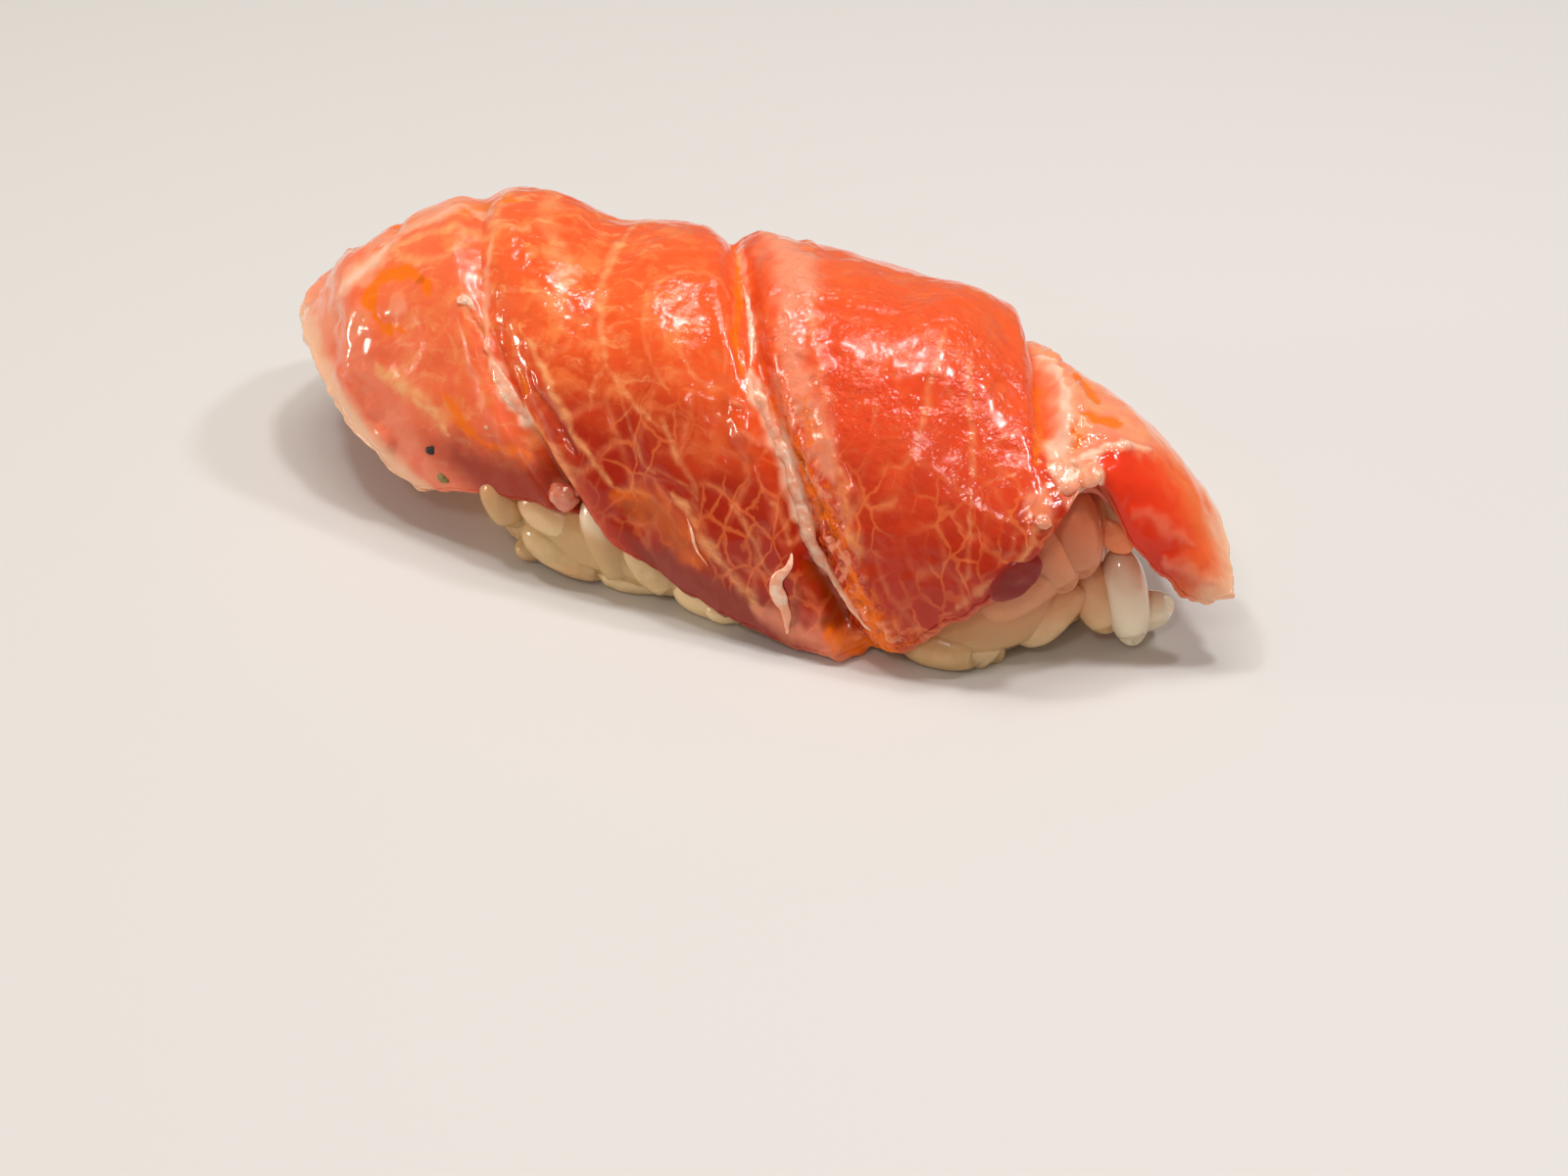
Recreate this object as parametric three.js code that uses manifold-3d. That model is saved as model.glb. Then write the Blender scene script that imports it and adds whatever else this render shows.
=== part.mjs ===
// Fatty tuna nigiri: a bias-cut slice of belly tuna draped over a hand-pressed ball of rice.
// Millimetres, +Z up. X runs along the ball and -Y is the side on which the slice hangs lowest.
// The origin is the middle of the flat base that the rice rests on.
import * as THREE from "three";
import { mergeVertices } from "three/addons/utils/BufferGeometryUtils.js";
import Module from "manifold-3d";

// ---- driving dimensions, in mm ----
const riceHalfLength = 23.4;
const riceHalfWidth = 12.3;
const riceTop = 20.5;
const riceSquareness = 2.8;
const riceBelly = { swell: 0.07, tightness: 1.6 };
const riceShoulder = { power: 2.8, root: 0.5 };
const grain = { length: 7.4, width: 3.0, depth: 2.7 };
const grainSunk = 0.5;
const contactGap = 0.3;
const sliceThickness = { middle: 5.0, edge: 1.9, edgePower: 2.2, leftEnd: 3.6, tail: 1.8 };
const leftEndSpan = [-24, -40];
const tailSpan = [18, 32];
const drapeFullness = { outward: 0.9, downward: 1.15 };
const bulgeFadePower = 4;

// Lines that run along the slice's outer face, as [x, y, z].
const ridgeLine = [
  [-46, 1.5, 5],
  [-41, 2, 12.4],
  [-35, 2.5, 17.9],
  [-27, 3, 21.9],
  [-17, 3, 21.7],
  [-5, 2.4, 22],
  [2, 2, 21.5],
  [8, 1.4, 21.1],
  [12.5, 1, 21.3],
  [15.5, 0.6, 19.8],
  [18.5, 0.2, 17.8],
  [22, -0.4, 16.8],
  [26, -1.2, 15.6],
  [30, -1.5, 12.4],
  [33, -1.8, 9],
  [36, -2.2, 5.6],
  [38, -2.4, 3.6],
];
const frontEdge = [
  [-46, -6, 0],
  [-38, -8.2, 0.6],
  [-30, -10, 2.6],
  [-26, -10.8, 3.8],
  [-20, -12, 5.6],
  [-14, -13.2, 6.4],
  [-7, -14, 4],
  [0, -14.5, 1.5],
  [7, -14.6, 0.3],
  [12, -14.3, 0.6],
  [16.5, -13.7, 4.6],
  [20.6, -12.6, 8.4],
  [23.4, -10, 12.6],
  [25.4, -7.4, 15],
  [28, -6.4, 10.4],
  [31, -5.6, 6.8],
  [34, -4.6, 5.2],
  [38, -3.4, 4],
];
const rearEdge = [
  [-46, 11, 8],
  [-36, 13, 8],
  [-24, 14.4, 6.6],
  [-10, 15, 4.6],
  [5, 15, 4],
  [13, 13.8, 4.6],
  [19, 11.6, 4.8],
  [25, 8.4, 2.6],
  [32, 4.6, 3.4],
  [38, 2.4, 2],
];

// Lines that run across it on the bias, from front edge to rear edge: x at even steps of the drape.
const leftCut = [-26.6, -34.2, -38.7, -41.8, -43.5, -43.8, -43.4, -42, -38.6];
const firstCrease = [-11, -21, -27, -31.5, -34.5];
const shallowCrease = [-4, -11, -16, -19.6, -23.5];
const middleCrease = [11.5, 2.6, -5.2, -10.8, -16.5];
const lastCrease = [25, 23.4, 19.2, 13.7, 8.4];
const rightCut = [33.6, 34.9, 34.2, 31, 26.4];

// The muscle segments between those lines, and the fold that ends each one.
const segments = [
  { from: leftCut, to: firstCrease, columns: 13, bulge: 0.5 },
  { from: firstCrease, to: middleCrease, columns: 17, bulge: 0.7 },
  { from: middleCrease, to: lastCrease, columns: 17, bulge: 0.9 },
  { from: lastCrease, to: rightCut, columns: 11, bulge: 0.3 },
];
const folds = [
  { line: firstCrease, frontDepth: 1.3, rearDepth: 0, width: 1.5 },
  { line: shallowCrease, frontDepth: 0.5, rearDepth: 1.4, width: 3.4 },
  { line: middleCrease, frontDepth: 1.5, rearDepth: 1.2, width: 1.5 },
  { line: lastCrease, frontDepth: 1.0, rearDepth: 1.0, width: 1.2 },
];
const sliceRows = 18;

// ---- helpers ----
const wasm = await Module();
wasm.setup();

// A smooth curve through rows of [key, value, ...]; it gives the values at a key.
function through(rows) {
  const width = rows[0].length - 1;
  const keys = rows.map((row) => row[0]);
  const values = rows.flatMap((row) => row.slice(1));
  const curve = new THREE.CubicInterpolant(keys, values, width);
  return (key) => Array.from(curve.evaluate(THREE.MathUtils.clamp(key, keys[0], keys.at(-1))));
}

// A line across the slice: x at v, which is -1 at the front edge, 0 on the ridge and 1 at the rear.
function across(stops) {
  const curve = through(stops.map((x, i) => [-1 + (2 * i) / (stops.length - 1), x]));
  return (v) => curve(v)[0];
}

const ridgeAt = through(ridgeLine);
const frontAt = through(frontEdge);
const rearAt = through(rearEdge);

function toManifold(geometry) {
  const bare = geometry.clone();
  bare.deleteAttribute("normal");
  bare.deleteAttribute("uv");
  const merged = mergeVertices(bare, 1e-4);
  return new wasm.Manifold(
    new wasm.Mesh({
      numProp: 3,
      vertProperties: merged.attributes.position.array,
      triVerts: new Uint32Array(merged.index.array),
    }),
  );
}

function toGeometry(solid) {
  const mesh = solid.getMesh();
  const geometry = new THREE.BufferGeometry();
  geometry.setAttribute("position", new THREE.BufferAttribute(mesh.vertProperties, 3));
  geometry.setIndex(new THREE.BufferAttribute(mesh.triVerts, 1));
  geometry.computeVertexNormals();
  return geometry;
}

// A closed skin from its triangles, each given as three points that run anticlockwise seen from outside.
function skinOf(faces) {
  const points = faces.flat().flatMap((p) => p.toArray());
  const geometry = new THREE.BufferGeometry();
  geometry.setAttribute("position", new THREE.Float32BufferAttribute(points, 3));
  geometry.setIndex(faces.flatMap((face, i) => [3 * i, 3 * i + 1, 3 * i + 2]));
  return geometry;
}

// ---- the tuna slice ----
// Where the slice's smooth outer face lies at x and v.
function drape(x, v) {
  const [ridgeY, ridgeZ] = ridgeAt(x);
  const [edgeY, edgeZ] = v < 0 ? frontAt(x) : rearAt(x);
  const turn = (Math.abs(v) * Math.PI) / 2;
  const outward = Math.sin(turn) ** drapeFullness.outward;
  const downward = 1 - Math.cos(turn) ** drapeFullness.downward;
  return new THREE.Vector3(
    x,
    ridgeY + (edgeY - ridgeY) * outward,
    ridgeZ + (edgeZ - ridgeZ) * downward,
  );
}

// The direction out of the slice at x and v, smoothed along x so that the drape's corners stay open.
function outwardNormal(x, v) {
  const alongStep = 2.5;
  const acrossStep = 0.04;
  const alongX = drape(x + alongStep, v).sub(drape(x - alongStep, v));
  const low = drape(x, Math.max(v - acrossStep, -1));
  const high = drape(x, Math.min(v + acrossStep, 1));
  return alongX.cross(high.sub(low)).normalize();
}

const foldLines = folds.map((fold) => ({ ...fold, xAt: across(fold.line) }));

function foldDepth(x, v) {
  return foldLines.reduce((sum, { xAt, frontDepth, rearDepth, width }) => {
    const distance = Math.abs(x - xAt(v)) / width;
    const depth = THREE.MathUtils.lerp(frontDepth, rearDepth, (v + 1) / 2);
    return sum + depth * Math.exp(-distance * distance);
  }, 0);
}

function thicknessAt(x, v) {
  const { middle, edge, edgePower, leftEnd, tail } = sliceThickness;
  const body = THREE.MathUtils.lerp(middle, edge, Math.abs(v) ** edgePower);
  const leftShare = THREE.MathUtils.smoothstep(-x, -leftEndSpan[0], -leftEndSpan[1]);
  const tailShare = THREE.MathUtils.smoothstep(x, tailSpan[0], tailSpan[1]);
  return THREE.MathUtils.lerp(THREE.MathUtils.lerp(body, leftEnd, leftShare), tail, tailShare);
}

// The columns of the slice: for each, x as a function of v and how far the muscle swells there.
function sliceColumns() {
  const columns = [];
  segments.forEach(({ from, to, columns: count, bulge }, index) => {
    const start = across(from);
    const end = across(to);
    const first = index === 0 ? 0 : 1;
    for (let i = first; i <= count; i++) {
      const share = i / count;
      columns.push({
        xAt: (v) => THREE.MathUtils.lerp(start(v), end(v), share),
        swell: bulge * Math.sin(Math.PI * share),
      });
    }
  });
  return columns;
}

// The slice as a closed skin: outer face, inner face and the cut rim that joins them.
function sliceGeometry(extraInside = 0) {
  const columns = sliceColumns();
  const outer = [];
  const inner = [];
  columns.forEach(({ xAt, swell }, i) => {
    outer.push([]);
    inner.push([]);
    for (let j = 0; j <= sliceRows; j++) {
      const v = -1 + (2 * j) / sliceRows;
      const x = xAt(v);
      const normal = outwardNormal(x, v);
      const base = drape(x, v);
      const lift = swell * (1 - Math.abs(v) ** bulgeFadePower) - foldDepth(x, v);
      outer[i].push(base.clone().addScaledVector(normal, lift));
      inner[i].push(base.clone().addScaledVector(normal, -thicknessAt(x, v) - extraInside));
    }
  });
  const faces = [];
  const quad = (a, b, c, d) => faces.push([a, b, c], [a, c, d]);
  const lastColumn = columns.length - 1;
  for (let i = 0; i < lastColumn; i++) {
    for (let j = 0; j < sliceRows; j++) {
      quad(outer[i][j], outer[i + 1][j], outer[i + 1][j + 1], outer[i][j + 1]);
      quad(inner[i][j], inner[i][j + 1], inner[i + 1][j + 1], inner[i + 1][j]);
    }
    quad(inner[i][0], inner[i + 1][0], outer[i + 1][0], outer[i][0]);
    quad(outer[i][sliceRows], outer[i + 1][sliceRows], inner[i + 1][sliceRows], inner[i][sliceRows]);
  }
  for (let j = 0; j < sliceRows; j++) {
    quad(inner[0][j], outer[0][j], outer[0][j + 1], inner[0][j + 1]);
    quad(outer[lastColumn][j], inner[lastColumn][j], inner[lastColumn][j + 1], outer[lastColumn][j + 1]);
  }
  return skinOf(faces);
}

// ---- the rice ----
// The pressed ball's side at an angle round it and a height from 0 at the base to 1 at the top.
function riceSide(angle, rise) {
  const cos = Math.cos(angle);
  const sin = Math.sin(angle);
  const spread = (Math.abs(cos) ** riceSquareness + Math.abs(sin) ** riceSquareness) ** (-1 / riceSquareness);
  const belly = 1 + riceBelly.swell * Math.sin(Math.PI * Math.min(rise * riceBelly.tightness, 1));
  const shoulder = (1 - rise ** riceShoulder.power) ** riceShoulder.root;
  return new THREE.Vector3(
    riceHalfLength * spread * cos * belly * shoulder,
    riceHalfWidth * spread * sin * belly * shoulder,
    riceTop * rise,
  );
}

function coreGeometry() {
  const around = 36;
  const levels = [0, 0.12, 0.3, 0.5, 0.68, 0.82, 0.92, 1];
  const rings = levels.map((rise) =>
    Array.from({ length: around }, (_, i) => riceSide((2 * Math.PI * i) / around, rise)),
  );
  const base = new THREE.Vector3(0, 0, 0);
  const top = new THREE.Vector3(0, 0, riceTop);
  const faces = [];
  for (let i = 0; i < around; i++) {
    const next = (i + 1) % around;
    faces.push([base, rings[0][next], rings[0][i]]);
    for (let k = 0; k < rings.length - 2; k++) {
      faces.push([rings[k][i], rings[k][next], rings[k + 1][next]]);
      faces.push([rings[k][i], rings[k + 1][next], rings[k + 1][i]]);
    }
    const last = rings.length - 2;
    faces.push([rings[last][i], rings[last][next], top]);
  }
  return skinOf(faces);
}

// One grain, lying along X.
function grainGeometry() {
  const geometry = new THREE.IcosahedronGeometry(1, 1);
  geometry.scale(grain.length / 2, grain.width / 2, grain.depth / 2);
  return geometry;
}

// A repeatable stand-in for chance, from 0 to 1.
function chance(seed) {
  const wave = Math.sin(seed * 127.1 + 311.7) * 43758.5453;
  return wave - Math.floor(wave);
}

function placedGrain(centre, direction, outward) {
  const side = new THREE.Vector3().crossVectors(outward, direction).normalize();
  const along = new THREE.Vector3().crossVectors(side, outward).normalize();
  const pose = new THREE.Matrix4().makeBasis(along, side, outward).setPosition(centre);
  return toManifold(grainGeometry().applyMatrix4(pose));
}

// Grains pressed into the ball's side, row above row, and only at its bare end high up.
const grainRows = [
  { rise: 0.1, count: 20, from: -riceHalfLength },
  { rise: 0.27, count: 18, from: -riceHalfLength },
  { rise: 0.44, count: 14, from: 6 },
  { rise: 0.6, count: 13, from: 10 },
];
const grainLean = 1.1;

function sideGrains() {
  const grains = [];
  grainRows.forEach(({ rise, count, from }, row) => {
    for (let i = 0; i < count; i++) {
      const seed = 100 * row + i;
      const angle = (2 * Math.PI * (i + 0.5 * (row % 2) + 0.3 * chance(seed))) / count;
      const centre = riceSide(angle, rise);
      if (centre.x < from) continue;
      const around = riceSide(angle + 0.02, rise).sub(riceSide(angle - 0.02, rise)).normalize();
      const upward = riceSide(angle, rise + 0.02).sub(riceSide(angle, rise - 0.02)).normalize();
      const outward = new THREE.Vector3().crossVectors(around, upward).normalize();
      const lean = (2 * chance(seed + 0.5) - 1) * grainLean;
      const direction = around.multiplyScalar(Math.cos(lean)).addScaledVector(upward, Math.sin(lean));
      centre.addScaledVector(outward, -grainSunk);
      grains.push(placedGrain(centre, direction, outward));
    }
  });
  return grains;
}

// Grains that have come part loose at the tail end: [centre], [direction it points].
const looseGrains = [
  { centre: [27.0, -5.1, 4.5], direction: [0.35, -0.22, -0.91] },
  { centre: [26.6, -2.4, 1.5], direction: [0.98, -0.05, 0.05] },
  { centre: [24.4, -4.0, 2.6], direction: [0.35, -0.1, -0.9] },
  { centre: [24.6, -4.2, 7.2], direction: [0.3, -0.3, -0.9] },
];

function looseEndGrains() {
  return looseGrains.map(({ centre, direction }) => {
    const along = new THREE.Vector3(...direction).normalize();
    const outward = new THREE.Vector3(0.6, -0.8, 0.05).normalize();
    return placedGrain(new THREE.Vector3(...centre), along, outward);
  });
}

function riceGeometry() {
  let rice = toManifold(coreGeometry());
  [...sideGrains(), ...looseEndGrains()].forEach((one) => {
    rice = rice.add(one);
  });
  const boardDepth = 10;
  const board = new THREE.BoxGeometry(120, 80, boardDepth).translate(0, 0, -boardDepth / 2);
  rice = rice.subtract(toManifold(board));
  rice = rice.subtract(toManifold(sliceGeometry(contactGap)));
  const pieces = rice.decompose();
  return toGeometry(pieces.reduce((most, piece) => (piece.volume() > most.volume() ? piece : most)));
}

// ---- the assembly ----
function named(name, geometry, colour, roughness) {
  const material = new THREE.MeshStandardMaterial({ color: colour, roughness, metalness: 0 });
  const mesh = new THREE.Mesh(geometry, material);
  mesh.name = name;
  return mesh;
}

const nigiri = new THREE.Group();
nigiri.add(named("tuna_slice", sliceGeometry(), 0xe8745a, 0.3));
nigiri.add(named("rice", riceGeometry(), 0xeadfc8, 0.4));

export default nigiri;
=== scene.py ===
# Fatty tuna nigiri: the flesh, sinews and glaze of the draped slice, and the rice grains under it.
import math
import random

import bpy
import numpy as np
from mathutils import Matrix, Vector, noise
from mathutils.bvhtree import BVHTree
from mathutils.kdtree import KDTree


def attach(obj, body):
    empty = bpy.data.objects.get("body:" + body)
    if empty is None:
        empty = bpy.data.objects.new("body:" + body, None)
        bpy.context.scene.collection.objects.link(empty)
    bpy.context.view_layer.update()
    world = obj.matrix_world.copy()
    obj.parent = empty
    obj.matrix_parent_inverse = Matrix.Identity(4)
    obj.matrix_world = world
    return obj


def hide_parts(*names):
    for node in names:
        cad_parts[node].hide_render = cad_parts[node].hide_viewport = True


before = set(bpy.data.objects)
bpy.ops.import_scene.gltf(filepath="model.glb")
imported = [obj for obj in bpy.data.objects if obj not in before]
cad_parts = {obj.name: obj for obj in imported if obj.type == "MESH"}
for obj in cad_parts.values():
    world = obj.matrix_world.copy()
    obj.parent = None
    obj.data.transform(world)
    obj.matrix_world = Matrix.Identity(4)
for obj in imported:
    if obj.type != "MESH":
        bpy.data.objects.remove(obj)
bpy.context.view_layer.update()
mm = 0.001
bpy.ops.object.select_all(action="DESELECT")
print("frame loaded:", ", ".join(sorted(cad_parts)))


# The camera
view = {
    "azimuth": 22.0,
    "elevation": 35.0,
    "distance": 205.0,  # mm from the aim
    "aim": (0.05, -2.56, -3.41),  # mm
    "lens": 60.885,
}


def addCamera():
    azimuth = math.radians(view["azimuth"])
    elevation = math.radians(view["elevation"])
    level = math.cos(elevation)
    back = Vector((math.sin(azimuth) * level, -math.cos(azimuth) * level, math.sin(elevation)))
    place = (Vector(view["aim"]) + back * view["distance"]) * mm
    bpy.ops.object.camera_add(location=place, rotation=back.to_track_quat("Z", "Y").to_euler())
    camera = bpy.context.object
    camera.data.lens = view["lens"]
    camera.data.clip_start = 0.01
    bpy.context.scene.camera = camera


addCamera()


# The slice's drape, in mm
# Lines along the slice give [x, y, z]. Lines across it give x at even steps from the front edge to the rear.
drape = {
    "ridge": [
        [-46, 1.5, 5], [-41, 2, 12.4], [-35, 2.5, 17.9], [-27, 3, 21.9], [-17, 3, 21.7], [-5, 2.4, 22],
        [2, 2, 21.5], [8, 1.4, 21.1], [12.5, 1, 21.3], [15.5, 0.6, 19.8], [18.5, 0.2, 17.8],
        [22, -0.4, 16.8], [26, -1.2, 15.6], [30, -1.5, 12.4], [33, -1.8, 9], [36, -2.2, 5.6], [38, -2.4, 3.6],
    ],
    "front": [
        [-46, -6, 0], [-38, -8.2, 0.6], [-30, -10, 2.6], [-26, -10.8, 3.8], [-20, -12, 5.6],
        [-14, -13.2, 6.4], [-7, -14, 4], [0, -14.5, 1.5], [7, -14.6, 0.3], [12, -14.3, 0.6],
        [16.5, -13.7, 4.6], [20.6, -12.6, 8.4], [23.4, -10, 12.6], [25.4, -7.4, 15], [28, -6.4, 10.4],
        [31, -5.6, 6.8], [34, -4.6, 5.2], [38, -3.4, 4],
    ],
    "rear": [
        [-46, 11, 8], [-36, 13, 8], [-24, 14.4, 6.6], [-10, 15, 4.6], [5, 15, 4], [13, 13.8, 4.6],
        [19, 11.6, 4.8], [25, 8.4, 2.6], [32, 4.6, 3.4], [38, 2.4, 2],
    ],
    "lines": [
        [-26.6, -34.2, -38.7, -41.8, -43.5, -43.8, -43.4, -42, -38.6],
        [-11, -21, -27, -31.5, -34.5],
        [11.5, 2.6, -5.2, -10.8, -16.5],
        [25, 23.4, 19.2, 13.7, 8.4],
        [33.6, 34.9, 34.2, 31, 26.4],
    ],
    "shallowCrease": [-4, -11, -16, -19.6, -23.5],
    "bulges": [0.5, 0.7, 0.9, 0.3],  # how far each muscle segment swells
    "fullness": (0.9, 1.15),  # how soon the drape turns outwards and down
    "thickness": {"middle": 5.0, "edge": 1.9, "edgePower": 2.2, "leftEnd": 3.6, "tail": 1.8},
    "leftEndSpan": (-24, -40),
    "tailSpan": (18, 32),
}
# A fold is its line, its depth at the front and at the rear, and its width.
folds = {
    "left": (drape["lines"][1], 1.3, 0.0, 1.5),
    "shallow": (drape["shallowCrease"], 0.5, 1.4, 3.4),
    "middle": (drape["lines"][2], 1.5, 1.2, 1.5),
    "tail": (drape["lines"][3], 1.0, 1.0, 1.2),
}


def through(rows):
    # a smooth curve through rows of [key, value, ...], with a natural start and end
    table = np.array(rows, float)
    keys = table[:, 0]
    values = table[:, 1:]
    last = len(keys) - 1

    def curve(key):
        key = np.clip(np.asarray(key, float), keys[0], keys[-1])
        after = np.clip(np.searchsorted(keys, key, side="right"), 1, last)
        before = after - 1
        atStart = before == 0
        atEnd = after == last
        earlier = np.where(atStart, after, before - 1)
        later = np.where(atEnd, before, np.minimum(after + 1, last))
        half = (keys[after] - keys[before]) / 2
        pullEarlier = half / (keys[before] - keys[earlier])
        pullLater = half / (keys[later] - keys[after])
        p = (key - keys[before]) / (2 * half)
        square = p * p
        cube = square * p
        bend = (1 + pullEarlier) * cube - (1.5 + 2 * pullEarlier) * square
        weights = (
            (earlier, pullEarlier * (-cube + 2 * square - p)),
            (before, bend + (pullEarlier - 0.5) * p + 1),
            (after, -(1 + pullLater) * cube + (1.5 + pullLater) * square + 0.5 * p),
            (later, pullLater * (cube - square)),
        )
        return sum(weight[..., None] * values[index] for index, weight in weights)

    return curve


def across(stops):
    # a line's x from the front edge to the rear
    curve = through([[-1 + 2 * i / (len(stops) - 1), x] for i, x in enumerate(stops)])
    return lambda v: curve(v)[..., 0]


ridgeAt = through(drape["ridge"])
frontAt = through(drape["front"])
rearAt = through(drape["rear"])
lineAt = [across(line) for line in drape["lines"]]
foldAt = {name: across(fold[0]) for name, fold in folds.items()}


def smoothStep(low, high, value):
    share = np.clip((value - low) / (high - low), 0, 1)
    return share * share * (3 - 2 * share)


def hump(away, width, power=2):
    # 1 in the middle, and nothing well past the width
    return np.exp(-((away / width) ** power))


def unit(rows):
    return rows / np.linalg.norm(rows, axis=-1, keepdims=True)


def alongAt(t, v):
    # x at t, which counts the muscle segments from the left end, and v, from -1 at the front to 1 at the rear
    xs = np.stack([line(v) for line in lineAt])
    segment = np.clip(np.floor(t).astype(int), 0, len(lineAt) - 2)
    share = t - segment
    start = np.take_along_axis(xs, segment[None], 0)[0]
    end = np.take_along_axis(xs, segment[None] + 1, 0)[0]
    return start + (end - start) * share


def drapeAt(x, v):
    # the slice's middle face, from the ridge over to its front and rear edges
    ridge = ridgeAt(x)
    edge = np.where((v < 0)[..., None], frontAt(x), rearAt(x))
    turn = np.abs(v) * math.pi / 2
    outward = np.sin(turn) ** drape["fullness"][0]
    downward = 1 - np.abs(np.cos(turn)) ** drape["fullness"][1]
    y = ridge[..., 0] + (edge[..., 0] - ridge[..., 0]) * outward
    z = ridge[..., 1] + (edge[..., 1] - ridge[..., 1]) * downward
    return np.stack([x, y, z], -1)


def outwardAt(x, v):
    # the direction out of the slice, smoothed along x so that the corners stay open
    reach, step = 2.5, 0.04  # mm, and share of half the width
    along = drapeAt(x + reach, v) - drapeAt(x - reach, v)
    crosswise = drapeAt(x, np.minimum(v + step, 1)) - drapeAt(x, np.maximum(v - step, -1))
    return unit(np.cross(along, crosswise))


def liftAt(t, x, v):
    # how far the muscle swells out of the drape, and the folds sink into it
    segment = np.clip(np.floor(t).astype(int), 0, 3)
    lift = np.array(drape["bulges"])[segment] * np.sin(math.pi * (t - segment)) * (1 - np.abs(v) ** 4)
    for name, fold in folds.items():
        front, rear, width = fold[1:]
        depth = front + (rear - front) * (v + 1) / 2
        lift = lift - depth * hump(x - foldAt[name](v), width)
    return lift


def thicknessAt(x, v):
    # thick in the middle, thin at the edges and the tail
    size = drape["thickness"]
    body = size["middle"] + (size["edge"] - size["middle"]) * np.abs(v) ** size["edgePower"]
    body = body + (size["leftEnd"] - body) * smoothStep(*[-x for x in drape["leftEndSpan"]], -x)
    return body + (size["tail"] - body) * smoothStep(*drape["tailSpan"], x)


def cloud(points, size, seed, detail=2):
    # smooth chance in space, about -1 to 1, with features of the given size in mm
    shift = Vector((seed, 2.7 * seed, -1.3 * seed))
    return np.array([noise.fractal(Vector(p) / size + shift, 0.8, 2.0, detail) for p in points])


print("drape ready")


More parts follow.
